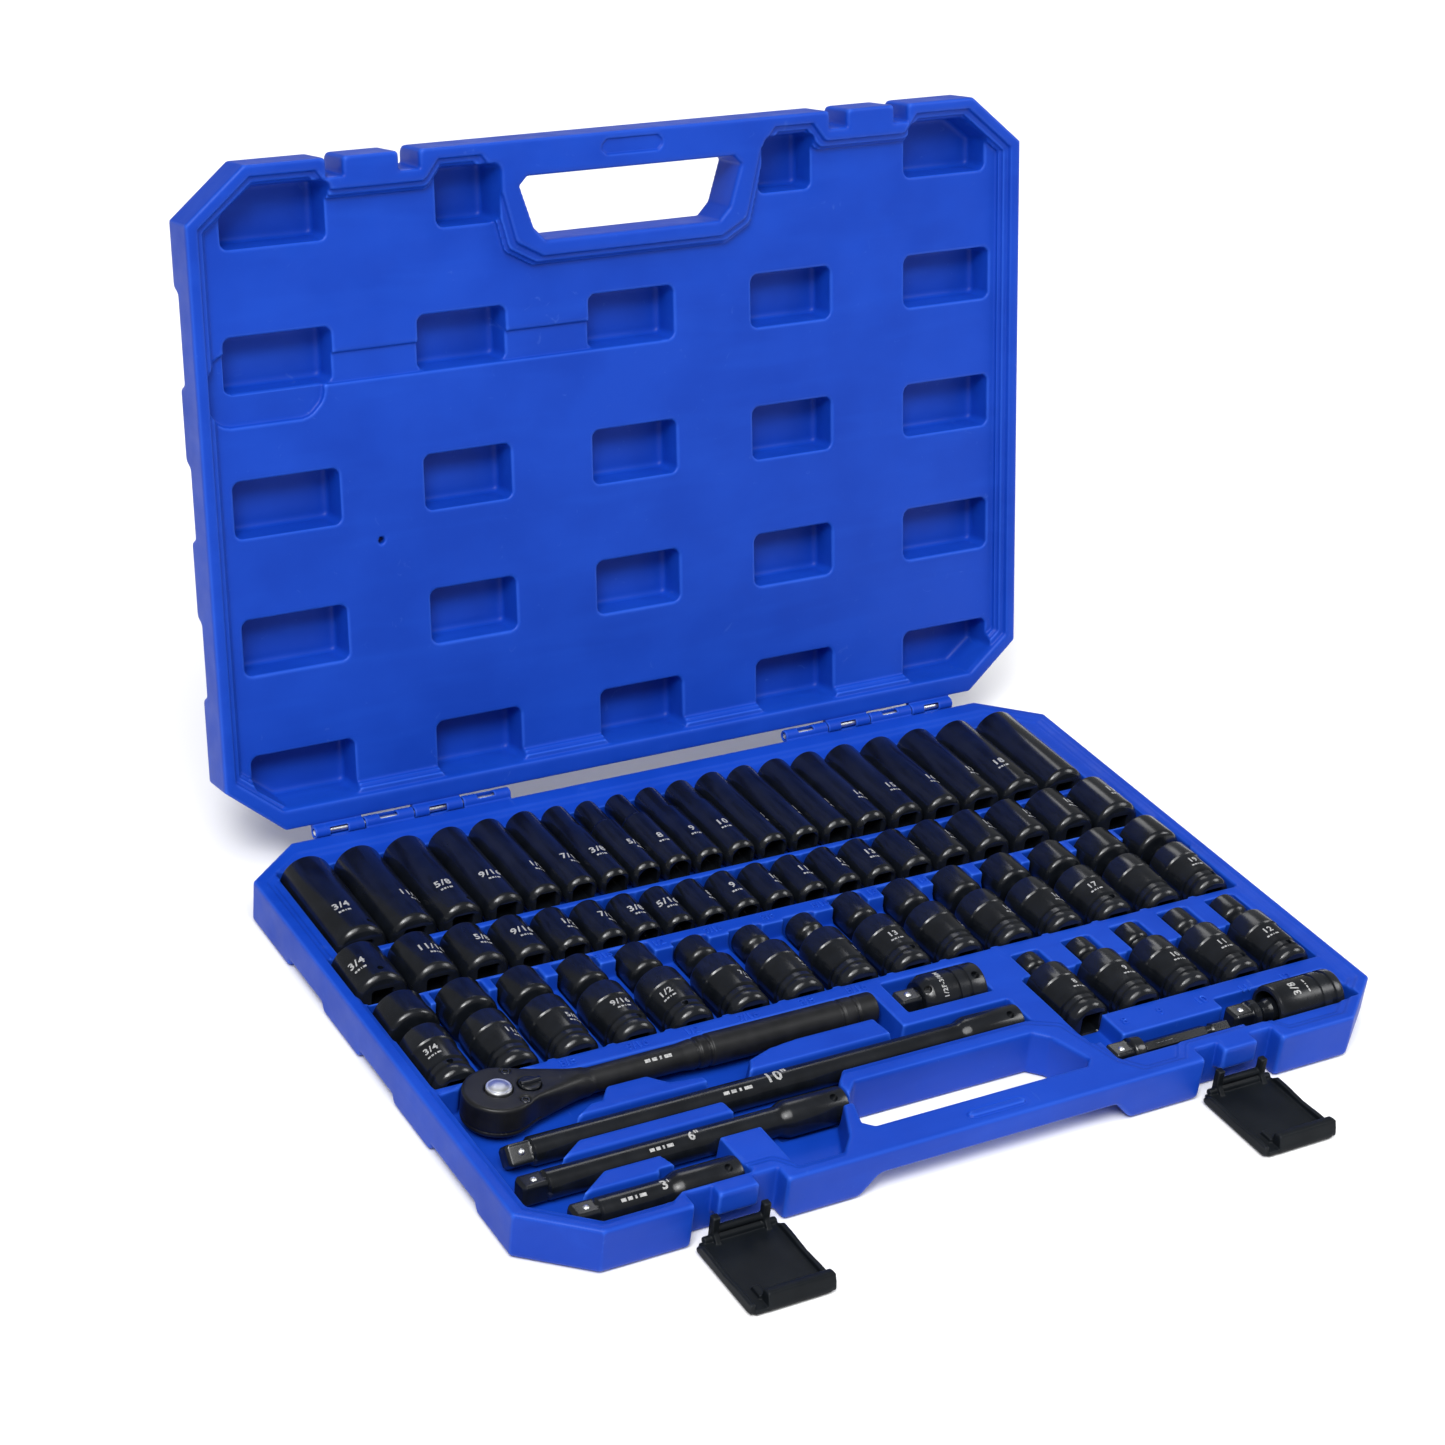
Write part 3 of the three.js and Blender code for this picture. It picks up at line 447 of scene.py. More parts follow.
class Field:
    """a distance field on a grid, carved in patches"""

    def __init__(self, lo, hi, step):
        self.x, self.y, self.z, self.step = grid(lo, hi, step)
        self.lo = lo
        self.value = np.full((self.x.size, self.y.size, self.z.size), 50, dtype=np.float32)

    def patch(self, x0, x1, y0, y1):
        i0, i1 = np.searchsorted(self.x.ravel(), [x0, x1])
        j0, j1 = np.searchsorted(self.y.ravel(), [y0, y1])
        return (slice(i0, i1), slice(j0, j1)), self.x[i0:i1], self.y[:, j0:j1], self.z

    def carve(self, box, shape):
        where, x, y, z = self.patch(*box)
        self.value[where] = np.minimum(self.value[where], shape(x, y, z))

    def carve_outline(self, points, low, high, draft=0.0, k=1.2):
        xs, ys = [p[0] for p in points], [p[1] for p in points]
        box = (min(xs) - 6, max(xs) + 6, min(ys) - 6, max(ys) + 6)
        self.carve(box, lambda x, y, z: larger(
            outline_distance(points, x, y) + draft * (high - z), np.maximum(low - z, z - high), k))

    def carve_box(self, x0, x1, y0, y1, z0, z1, draft=0.0, k=1.2):
        self.carve_outline([(x0, y0), (x1, y0), (x1, y1), (x0, y1)], z0, z1, draft, k)

    def carve_cradle(self, along, across, height, radius, start, end):
        """a trough open upwards, a little wider than the tool that lies in it"""
        r = radius + CLEARANCE

        def shape(x, y, z):
            side, run = (x - across, y) if along == "y" else (y - across, x)
            trough = np.where(z < height, np.sqrt(side ** 2 + (z - height) ** 2), np.abs(side)) - r
            return larger(trough, np.abs(run - (start + end) / 2) - (end - start) / 2, 1.0)

        if along == "y":
            self.carve((across - r - 4, across + r + 4, start - 4, end + 4), shape)
        else:
            self.carve((start - 4, end + 4, across - r - 4, across + r + 4), shape)


STEP = 0.9
BELOW, ABOVE, OUTSIDE = -9, 40, 9
RIB_LINES = (-88, -32, 32, 97)
BANDS = [(-97, -57), (-19, 13), (53, 87)]


def tray_hollows(cuts):
    """everything cut down into the tray for the tools"""
    cuts.carve_box(-208.5, 204.5, 62.5, 132.5, DEEP["floor"], ABOVE, 0.05)
    cuts.carve_box(-214, 211, 23, 60.5, SHALLOW["floor"], ABOVE, 0.05)
    for (_, radius, _), deep_x, shallow_x in zip(SIZES, DEEP_X, SHALLOW_X):
        cuts.carve_cradle("y", deep_x, deep_axis(radius), radius, DEEP["front"] - 1, DEEP["rear"] + 1)
        cuts.carve_cradle("y", shallow_x, shallow_axis(radius), radius, SHALLOW["front"] - 1,
            SHALLOW["rear"] + 1)
    cuts.carve_box(-213, 212, -41.5, 15, ROW_FLOOR, ABOVE, 0.05)
    cuts.carve_box(66.5, 211, -105.5, -67, ROW_FLOOR, ABOVE, 0.05)
    for row in (LONG_ROW, SHORT_ROW):
        for i, size in enumerate(row["sizes"]):
            x = row["first"] + row["pitch"] * i
            radius = short_head(SIZES[size][1]) if row is SHORT_ROW else SIZES[size][1]
            cuts.carve_cradle("y", x, row["z"], SWIVEL_RADIUS + 0.1, row["ball"] - 34.5, row["ball"] + 3)
            swing = math.hypot(head_reach(radius), radius) + 0.6
            cuts.carve_cradle("y", x, row["z"], radius, row["ball"] + 2, row["ball"] + swing)
    where, x, y, z = cuts.patch(-216, 57, -149, -38)
    hollow = larger(outline_distance(HOLLOW, x, y) + 0.06 * (TRAY - z), HOLLOW_FLOOR - z, 1.5)
    for island in ISLANDS:
        kept = larger(outline_distance(island, x, y) - 0.10 * (TRAY - z), z - TRAY, 1.6)
        hollow = larger(hollow, -kept, 1.5)
    raised = larger(outline_distance(REST, x, y) - 0.1 * (REST_TOP - z), z - REST_TOP, 1.0)
    hollow = larger(hollow, -raised, 0.8)
    cuts.value[where] = np.minimum(cuts.value[where], hollow)
    for _, left, bar_y, length, _ in BARS:
        cuts.carve_cradle("x", bar_y, BAR_Z, 8.4, left + length - 32, left + length + 0.7)
    cuts.carve_cradle("x", RATCHET["y"], RATCHET["z"], 7.2, -90, -4.5)
    cuts.carve((-210, -168, -78, -36), lambda x, y, z: larger(
        np.hypot(x - RATCHET["x"], y - RATCHET["y"]) - 16.9, HOLLOW_FLOOR - z))
    cuts.carve((-202, -178, -70, -45), lambda x, y, z: larger(
        np.hypot(x - RATCHET["x"], y - RATCHET["y"]) - 7.6, 2.0 - z))
    cuts.carve_cradle("x", *ADAPTER[1:], 11, 5.5, 50.5)
    cuts.carve_box(72, 142.5, -136.2, -120.6, 7.4, ABOVE, 0.03)
    cuts.carve_cradle("x", *UNIVERSAL[1:], 11.5, 141, 206)
    cuts.carve_box(66.5, 86, -122, -100, ROW_FLOOR, ABOVE, 0.03)


def score(made, points, width, level, above):
    """a shallow moulded groove along a closed outline, in the top or bottom face at this level"""
    line = np.abs(outline_distance(points, made.x, made.y)) - width / 2
    depth = (level - 0.9 - made.z) if above else (made.z - level - 0.9)
    made.value = larger(made.value, -larger(line, depth, 0.5), 0.9)


def side_steps(cuts, side, past):
    """the steps cut into a side wall's outer edge; past tells how far a height is beyond them"""
    edge = side * (SIDE + 1)
    for y0, y1 in BANDS:
        cuts.carve((min(edge, edge - side * 14), max(edge, edge - side * 14), y0 - 4, y1 + 4),
            lambda x, y, z: larger(larger(side * (SIDE - 9) - side * x,
                np.abs(y - (y0 + y1) / 2) - (y1 - y0) / 2 + 0.5 * past(z), 1.5), past(z), 1.5))


def base_field():
    lo, hi = (-222, -155, -2), (222, 154.5, 24)
    made = Field(lo, hi, STEP)
    x, y, z = made.x, made.y, made.z
    outer = outline_distance(cornered(-SIDE, SIDE, FRONT, REAR, *CORNER), x, y)
    body = larger(outer + 0.018 * (BASE_TOP - z), z - BASE_TOP, 1.6)
    body = larger(body, -z, 3.0)
    cuts = Field(lo, hi, STEP)
    tray_hollows(cuts)
    made.value = larger(body, -cuts.value, 1.5)
    for inset, floor in ((RIM - 1, BASE_TOP - 0.9), (RIM + 1.8, TRAY)):
        mouth = outline_distance(mouth_outline(inset - TURN), x, y) + TURN
        made.value = larger(made.value, -np.maximum(mouth, floor - z), 0.7)
    outer_cuts = Field(lo, hi, STEP)
    outer_cuts.carve_outline(HANDLE_OUTLINE, BELOW, ABOVE)
    outer_cuts.carve((-75, 75, -156, -130), lambda x, y, z: larger(
        larger(np.abs(x) - 71 + 0.9 * (z + 1), z - 10, 2.5), np.abs(y + 146) - 11.5, 1.0))
    for side in (-1, 1):
        mid = side * LATCH_X
        outer_cuts.carve_box(mid - NOTCH, mid - 9.3, -160, -144, BELOW, ABOVE, k=1.0)
        outer_cuts.carve_box(mid + 9.3, mid + NOTCH, -160, -144, BELOW, ABOVE, k=1.0)
        outer_cuts.carve_box(mid - NOTCH, mid + NOTCH, -160, -150.2, BELOW, ABOVE, k=1.0)
        outer_cuts.carve((mid - 26, mid + 26, -156, -140), lambda x, y, z: larger(
            larger(np.abs(x - mid) - NOTCH, y + 144 + 0.35 * np.maximum(z - 9.8, 0), 1),
            z - 11.5 + 0.30 * (y + 152), 2.0))
        side_steps(outer_cuts, side, lambda z: z - BASE_STEP)
    made.value = larger(made.value, -outer_cuts.value, 1.8)
    for rib_y in RIB_LINES:
        score(made, cornered(-176, 176, rib_y - 4, rib_y + 4, 4, 3), 2.0, 0, False)
    oblong = outline_distance(cornered(-15, 15, -148, -143, 2, 2), x, y)
    groove = np.abs(oblong)
    pill = larger(oblong, z - BASE_TOP - 0.9, 0.8)
    made.value = larger(smaller(made.value, larger(pill, BASE_TOP - 3 - z), 0.6),
        -larger(groove - 0.5, BASE_TOP - 0.5 - z, 0.3), 0.4)
    return made


def lid_field():
    lo, hi = (-222, -155, 20.8), (222, 154.5, 47)
    made = Field(lo, hi, STEP)
    x, y, z = made.x, made.y, made.z
    outer = outline_distance(cornered(-SIDE, SIDE, FRONT, REAR, *CORNER), x, y)
    body = larger(outer + 0.018 * (z - LID_FACE), LID_FACE - z, 1.6)
    body = larger(body, z - LID_TOP, 4.0)
    cuts = Field(lo, hi, STEP)
    for inset, depth in ((RIM - 0.5, 2.6), (RIM + 2.2, 4.8), (RIM + 3.6, 7.0)):
        mouth = outline_distance(mouth_outline(inset - TURN), x, y) + TURN
        cuts.value = np.minimum(cuts.value, larger(mouth, z - LID_FACE - depth, 0.7))
    # pockets, as distances from the hinge edge and places along it
    rows = [(270.4, 297.4), (206.2, 232.1), (140.9, 167.4), (76.8, 103.3), (13, 38.6)]
    columns = [(-204, -152), (-110, -65), (-22, 24), (66.5, 112), (155, 206)]
    top_columns = [(-202, -152), (-98, -68), None, (71.5, 101), (155, 203)]
    for r, (near, far) in enumerate(rows):
        span = (HINGE_EDGE - far, HINGE_EDGE - near)
        for i, column in enumerate(top_columns if r == 0 else columns):
            if column is None:
                continue
            corner = (i == 0, r != 0) if i in (0, 4) and r in (0, 4) else None
            points = window(*column, span, corner)
            xs, ys = [p[0] for p in points], [p[1] for p in points]
            cuts.carve((min(xs) - 8, max(xs) + 8, min(ys) - 8, max(ys) + 8), lambda x, y, z: larger(
                outline_distance(points, x, y) - ROUND + 0.07 * (z - LID_FACE - 7), z - LID_TOP + 1.6, 2.6))
    head = outline_distance(cornered(-204, -167, -60, -47, 2, 2), x, y) - 10
    cuts.value = np.minimum(cuts.value, larger(head, z - LID_FACE - 9.4, 0.5))
    grip = [(-157, -65), (17, -65), (17, -51), (-157, -51)]
    cuts.value = np.minimum(cuts.value, larger(outline_distance(grip, x, y), z - LID_FACE - 8.8, 0.5))
    cuts.carve((-138, -128, 20, 30), lambda x, y, z: np.hypot(x + 133, y - 24.5) - 1.7)
    made.value = larger(body, -cuts.value, 1.9)
    outer_cuts = Field(lo, hi, STEP)
    outer_cuts.carve_outline(HANDLE_OUTLINE, 0, 60)
    for side in (-1, 1):
        for near, far in ((108, 118), (145, 153)):
            ends = sorted((side * near, side * far))
            outer_cuts.carve_box(ends[0], ends[1], -160, -144, 0, 60, k=1.0)
        side_steps(outer_cuts, side, lambda z: LID_STEP - z)
    made.value = larger(made.value, -outer_cuts.value, 2.2)
    for rib_y in RIB_LINES:
        score(made, cornered(-176, 176, rib_y - 4, rib_y + 4, 4, 3), 2.0, LID_TOP, True)
    dimple = outline_distance(cornered(-16, 16, -149, -142, 2.4, 2.4), x, y)
    made.value = larger(made.value, -larger(dimple, z - LID_FACE - 1.4, 0.6), 0.8)
    return made


def field_piece(name, made, shape, finish, body, stands_for=(), turned=None):
    """a piece with the zero surface of this shape, closed at the edges of its grid"""
    full = np.broadcast_to(shape, (made.x.size, made.y.size, made.z.size))
    field = np.pad(full, 1, constant_values=OUTSIDE)
    points, quads = surface(field, [v - made.step for v in made.lo], made.step)
    add(name, points, quads, finish, body, stands_for, turned=turned)


for name, made, body, node, turned in (
    ("base_shell", base_field(), "case_base", "case_base", None),
    ("lid_shell", lid_field(), "lid", "case_lid", OPENED),
):
    field_piece(name, made, made.value, BLUE, body, (node,), turned)


# ---------------------------------------------------------------- hinge knuckles, slotted over their pins
def knuckle_piece(name, x0, x1, of_base):
    sign = -1 if of_base else 1
    made = Field((x0 - 1, REAR - 2.5, HINGE_Z - 5), (x1 + 1, HINGE_Y + 4.5, HINGE_Z + 5), 0.42)
    x, y, z = made.x, made.y, made.z
    ends = np.abs(x - (x0 + x1) / 2) - (x1 - x0) / 2
    off = np.hypot(y - HINGE_Y, z - HINGE_Z)
    lift = sign * (z - HINGE_Z)
    web = np.maximum(np.maximum(0.6 - lift, lift - 4.0 + 0.35 * (y - REAR)),
        np.maximum(y - HINGE_Y, REAR - 1 - y))
    shape = larger(smaller(off - 3.1, web, 0.8), ends, 0.6)
    middle = (x0 + x1) / 2
    slot = np.maximum(np.maximum(np.abs(x - middle + 0.5) - 4.5, np.abs(y - HINGE_Y) - 1.9), lift)
    shape = larger(larger(shape, 1.9 - off, 0.2), -slot, 0.5)
    body, turned = ("case_base", None) if of_base else ("lid", OPENED)
    field_piece(name, made, shape, BLUE, body, turned=turned)


for side, word in ((-1, "left"), (1, "right")):
    for i in range(4):
        of_base = i % 2 == (1 if side < 0 else 0)
        x0 = side * HINGE_X - 2 * KNUCKLE + KNUCKLE * i + 0.25
        knuckle_piece(f"knuckle_{word}_{i + 1}", x0, x0 + 24.9, of_base)


# ---------------------------------------------------------------- turned pieces made of rings
AROUND = 72
ANGLES = np.arange(AROUND) * 2 * np.pi / AROUND
SHARP = 28


def circle(radius):
    return np.full(AROUND, float(radius))


def square(half, limit, turn=0.0):
    """a square with its corners cut to a limiting radius"""
    a = ANGLES + math.radians(turn)
    return np.minimum(half / np.maximum(np.abs(np.cos(a)), np.abs(np.sin(a))), limit)


def hexagon(across):
    a = (ANGLES + math.pi / 6) % (math.pi / 3) - math.pi / 6
    return across / 2 / np.cos(a)


def ring_piece(name, rings, axis, centre, finish, body, stands_for=()):
    """rings are (distance along the axis, radius at each angle); both ends are closed to their centres"""
    points = []
    for t, radius in rings:
        u, v = radius * np.cos(ANGLES), radius * np.sin(ANGLES)
        points += [place(axis, centre, t, p, q) for p, q in zip(u, v)]
    first = len(points)
    points.append(place(axis, centre, rings[0][0], 0, 0))
    points.append(place(axis, centre, rings[-1][0], 0, 0))
    faces = []
    for r in range(len(rings) - 1):
        for i in range(AROUND):
            j = (i + 1) % AROUND
            faces.append((r * AROUND + i, r * AROUND + j, (r + 1) * AROUND + j, (r + 1) * AROUND + i))
    last = (len(rings) - 1) * AROUND
    for i in range(AROUND):
        j = (i + 1) % AROUND
        faces.append((first, j, i))
        faces.append((first + 1, last + i, last + j))
    return add(name, points, faces, finish, body, stands_for, SHARP)


def place(axis, centre, t, u, v):
    """a point at distance t along a tool's axis and (u, v) off it"""
    x, y, z = centre
    if axis == "y":
        return (x + v, y + t, z + u)
    if axis == "x":
        return (x + t, y + u, z + v)
    return (x + u, y + v, z + t)


def round_steps(*pairs):
    return [(t, circle(r)) for t, r in pairs]


def square_hole(depth):
    """the drive square from its floor out to the front face"""
    half = DRIVE / 2 + 0.1
    return [(depth, square(half - 0.1, half * 1.32)), (depth - 0.3, square(half, half * 1.34)),
        (0.9, square(half, half * 1.34)), (0.0, square(half + 0.75, half * 1.45))]


def hex_hole(length, depth, across, mouth):
    """a socket's hexagonal hole, from its chamfered mouth down to its floor"""
    bore = across / 2 + 0.08
    return [(length, circle(min(mouth, across / math.sqrt(3) + 0.7))),
        (length - 1.0, hexagon(across + 0.16)), (length - depth, hexagon(across + 0.16)),
        (length - depth - 1.5, circle(bore * 0.7))]


def drill(made, points, radius, depth=2.2):
    """sinks small round holes into a piece, each from a point on its surface along a direction"""
    cutters = bmesh.new()
    for spot, direction in points:
        spin = Vector(direction).to_track_quat("Z", "Y").to_matrix().to_4x4()
        bmesh.ops.create_cone(cutters, cap_ends=True, segments=20, radius1=radius / 1000,
            radius2=radius / 1000, depth=2 * depth / 1000,
            matrix=Matrix.Translation(Vector(spot) / 1000) @ spin)
    mesh = bpy.data.meshes.new("cutter")
    cutters.to_mesh(mesh)
    cutters.free()
    tool = link("cutter", mesh)
    modifier = made.modifiers.new("hole", "BOOLEAN")
    modifier.operation = "DIFFERENCE"
    modifier.solver = "EXACT"
    modifier.object = tool
    cut_mesh = evaluated(made)
    made.modifiers.clear()
    made.data = cut_mesh
    bpy.data.objects.remove(tool)
    cut_mesh.shade_smooth()
    cut_mesh.set_sharp_from_angle(angle=math.radians(SHARP))


# ---------------------------------------------------------------- marks wrapped on round tools
CAPITALS = 0.72
MARK_LIFT = 0.05


def text_mesh(text, size, **settings):
    curve = bpy.data.curves.new("mark", "FONT")
    curve.body = text
    curve.size = size / CAPITALS / 1000
    curve.align_x = "CENTER"
    for key, value in settings.items():
        setattr(curve, key, value)
    made = link("mark", curve)
    mesh = evaluated(made)
    bpy.data.objects.remove(made)
    return mesh


def letters(text, size):
    """flat filled outlines of a text, centred, as vertices and triangles with no long edges"""
    mesh = text_mesh(text, size, space_character=1.12, offset=size * 0.035 / 1000, resolution_u=2)
    work = bmesh.new()
    work.from_mesh(mesh)
    bmesh.ops.triangulate(work, faces=work.faces)
    for _ in range(2):
        long = [e for e in work.edges if e.calc_length() > 0.0009]
        if long:
            bmesh.ops.subdivide_edges(work, edges=long, cuts=1)
            bmesh.ops.triangulate(work, faces=work.faces)
    points = np.array([v.co[:2] for v in work.verts]) * 1000
    faces = [tuple(v.index for v in f.verts) for f in work.faces]
    work.free()
    return points, faces


def dashes(length, height):
    """a plain broken line, where the real tools have a grade stamped"""
    points, faces = [], []
    for start, end in ((-0.5, -0.30), (-0.23, -0.05), (0.05, 0.13), (0.23, 0.5)):
        steps = 4
        first = len(points)
        for i in range(steps + 1):
            u = length * (start + (end - start) * i / steps)
            points += [(u, -height / 2), (u, height / 2)]
        corners = [first + 2 * i for i in range(steps)]
        faces += [(i, i + 2, i + 3, i + 1) for i in corners]
    return np.array(points), faces


def wrap_mark(name, pattern, axis, centre, radius, at, turn, body, along=True):
    """lays a flat pattern on a round tool, turned from the top; on the x axis it runs along it or round it"""
    points, faces = pattern
    made = []
    reach = radius + MARK_LIFT
    for u, v in points:
        a = math.radians(turn) + (v if axis == "x" and along else u) / radius
        side, up = reach * math.sin(a), centre[2] + reach * math.cos(a)
        if axis == "y":
            made.append((centre[0] + side, at + v, up))
        else:
            made.append((at + u if along else at - v, centre[1] + side, up))
    add(name, made, faces, ETCHED, body)


def label(key):
    return key.replace("in", "").replace("mm", "").replace("_", "/")


LETTERS = {key: letters(label(key), 4.1) for key, _, _ in SIZES}
SMALL_LETTERS = {key: letters(label(key), 3.4) for key, _, _ in SIZES}


# ---------------------------------------------------------------- plain sockets
def plain_socket(name, key, radius, across, centre, row, body, turn, deep):
    length = row["rear"] - row["front"]
    x, z = centre
    corner = across / math.sqrt(3)
    small = max(corner + 1.5, radius - 1.7) if deep and across < 10.5 else radius
    rings = square_hole(10.5)
    rings += round_steps((0, radius - 2.3), (0.25, radius - 1.8), (1.5, radius - 0.55),
        (2.3, radius - 0.12), (3.4, radius))
    if small < radius:
        rings += round_steps((length * 0.66, radius), (length * 0.66 + 3, small))
    rings += round_steps((length - 1.5, small), (length - 0.5, small - 0.25), (length, small - 0.8))
    rings += hex_hole(length, 26 if deep else 12.5, across, small - 0.9)
    at = (x, row["front"], z)
    made = ring_piece(name, rings, "y", at, BLACK, body, (body,))
    side = math.radians(turn + 34)
    out = (math.sin(side), 0, math.cos(side))
    spot = (x + out[0] * radius, row["front"] + 6.2, z + out[2] * radius)
    drill(made, [(spot, out)], 1.35)
    lines = row["front"] + (20.5 if deep else 15.0)
    small_mark = 0.9 if radius > 9 else 0.8
    wrap_mark(f"{name}_size", LETTERS[key], "y", at, radius, lines - 1.6, turn, body)
    wrap_mark(f"{name}_line", dashes(6.6 * small_mark, 1.15), "y", at, radius, lines - 4.4, turn, body)


for i, (key, radius, across) in enumerate(SIZES):
    half = "deep_sockets_inch" if i < 8 else "deep_sockets_metric"
    plain_socket(f"deep_{key}", key, radius, across, (DEEP_X[i], deep_axis(radius)), DEEP, half,
        DEEP_TURNS[i], True)
    plain_socket(f"shallow_{key}", key, radius, across, (SHALLOW_X[i], shallow_axis(radius)), SHALLOW,
        "shallow_sockets", SHALLOW_TURNS[i], False)


# ---------------------------------------------------------------- swivel sockets
def swivel(key, radius, across, x, row, turn):
    front, z, ball = row["ball"] + 2 - SWIVEL_BODY, row["z"], row["ball"]
    rings = square_hole(11.5)
    rings += round_steps((0, 8.2), (0.3, 8.9), (1.6, 10.1), (2.4, 10.45), (4.6, 10.5), (5.0, 9.7),
        (6.6, 9.7), (7.1, 10.4), (9.0, 10.45), (9.4, 9.95), (10.4, 9.95), (10.9, 10.8), (11.6, SWIVEL_WAIST),
        (23.3, SWIVEL_WAIST), (23.7, 11.15), (24.3, SWIVEL_RADIUS), (34.4, SWIVEL_RADIUS), (35.1, 11.3),
        (SWIVEL_BODY, 10.6), (SWIVEL_BODY, 9.2), (34.9, 8.5), (30.0, 7.9), (26.0, 7.5))
    centre = (x, front, z)
    body = ring_piece(f"{key}_swivel", rings, "y", centre, BLACK, f"swivel_{key}", (f"swivel_{key}_body",))
    side = math.radians(turn + 20)
    out = (math.sin(side), 0, math.cos(side))
    drill(body, [((x + out[0] * 10.4, front + 8.1, z + out[2] * 10.4), out)], 1.45, 2.4)
    wrap_mark(f"{key}_swivel_size", SMALL_LETTERS[key], "y", centre, SWIVEL_WAIST, front + 17.4,
        turn, f"swivel_{key}")
    wrap_mark(f"{key}_swivel_line", dashes(6.4, 0.95), "y", centre, SWIVEL_WAIST, front + 15.0,
        turn, f"swivel_{key}")
    if row is SHORT_ROW:
        radius = short_head(radius)
    reach = head_reach(radius)
    slices = np.linspace(0.15, 2.35, 14)
    ball_rings = [(-SWIVEL_BALL * math.cos(a), circle(SWIVEL_BALL * math.sin(a))) for a in slices]
    neck = min(5.0, radius - 1.2)
    rings = ball_rings + round_steps((5.6, neck), (7.2, neck + 0.1), (8.4, radius - 1.9),
        (9.0, radius - 0.9), (10.2, radius - 0.15), (11.2, radius), (reach - 1.5, radius),
        (reach - 0.5, radius - 0.25), (reach, radius - 0.75))
    rings += hex_hole(reach, min(12.5, reach - 9), min(across, (radius - 0.9) * 1.73), radius - 0.85)
    ring_piece(f"{key}_swivel_head", rings, "y", (x, ball, z), BLACK, f"swivel_{key}_head",
        (f"swivel_{key}_head",))


for row, turns in ((LONG_ROW, LONG_TURNS), (SHORT_ROW, SHORT_TURNS)):
    for i, size in enumerate(row["sizes"]):
        key, radius, across = SIZES[size]
        swivel(key, radius, across, row["first"] + row["pitch"] * i, row, turns[i])


# ---------------------------------------------------------------- bars and adapters
def detent_ball(name, centre, direction, body, radius=1.75):
    """a small ball standing out of a drive square"""
    slices = np.linspace(0.05, 1.9, 8)
    rings = [(radius * 0.5 - radius * (1 - math.cos(a)), circle(radius * math.sin(a))) for a in slices]
    out = Vector(direction).normalized()
    side = out.orthogonal().normalized()
    other = out.cross(side)
    points = []
    for t, r in rings:
        for a, q in zip(ANGLES, r):
            points.append(Vector(centre) + out * t + side * (q * math.cos(a)) + other * (q * math.sin(a)))
    faces = []
    for row in range(0, (len(rings) - 1) * AROUND, AROUND):
        for i in range(AROUND):
            j = (i + 1) % AROUND
            faces.append((row + i, row + AROUND + i, row + AROUND + j, row + j))
    last = (len(rings) - 1) * AROUND
    faces += [tuple(range(AROUND)), tuple(reversed(range(last, last + AROUND)))]
    add(name, points, faces, CHROME, body, sharp=40)


def male_square(length, turn=0.0, neck=6.3):
    """a drive square and the shoulder behind it"""
    half = DRIVE / 2
    limit = half * 1.30
    return [(0, square(half - 1.3, limit - 1.6, turn)), (0.9, square(half - 0.35, limit - 0.5, turn)),
        (1.6, square(half, limit, turn)), (length - 1.2, square(half, limit, turn)),
        (length - 0.4, square(half + 0.3, limit, turn)), (length, circle(neck - 0.9))]


def extension_bar(name, left, y, length, turn):
    rings = male_square(11, turn=turn)
    shaft = length - 28
    rings += round_steps((11.1, 5.5), (11.9, 6.2), (12.6, BAR_RADIUS), (shaft - 5, BAR_RADIUS),
        (shaft - 3.6, 6.45), (shaft - 2.6, 7.0), (shaft - 0.4, 7.8), (shaft + 0.6, BAR_END),
        (length - 1.6, BAR_END), (length - 0.5, 7.75), (length, 7.1))
    rings += [(length, square(5.6, 7.2)), (length - 0.8, square(4.9, 6.4)),
        (length - 11, square(4.9, 6.4)), (length - 11.5, square(4.5, 6.0))]
    made = ring_piece(name + "_bar", rings, "x", (left, y, BAR_Z), BLACK, name, (name,))
    face = math.radians(38 if turn > 30 else 2)
    out = (0, -math.sin(face), math.cos(face))
    drill(made, [((left + length - 6.5, y - 3.2, BAR_Z + 7.4), (0, -0.4, 0.92))], 1.8)
    detent_ball(name + "_ball", (left + 6.3, y + out[1] * BALL_OUT, BAR_Z + out[2] * BALL_OUT), out, name)


for bar in BARS:
    extension_bar(*bar)
for name, left, text_at, mark_at, size in (
    ("extension_bar_10in", "10\"", -74.0, -94.0, 5.6), ("extension_bar_6in", "6\"", -127.0, -143.0, 4.4),
    ("extension_bar_3in", "3\"", -153.0, -169.0, 4.6),
):
    _, x0, y, length, _ = next(b for b in BARS if b[0] == name)
    wrap_mark(name + "_size", letters(left, size), "x", (0, y, BAR_Z), BAR_RADIUS, text_at, -30, name)
    wrap_mark(name + "_line", dashes(size * 2.5, 1.5), "x", (0, y, BAR_Z), BAR_RADIUS, mark_at, -28, name)


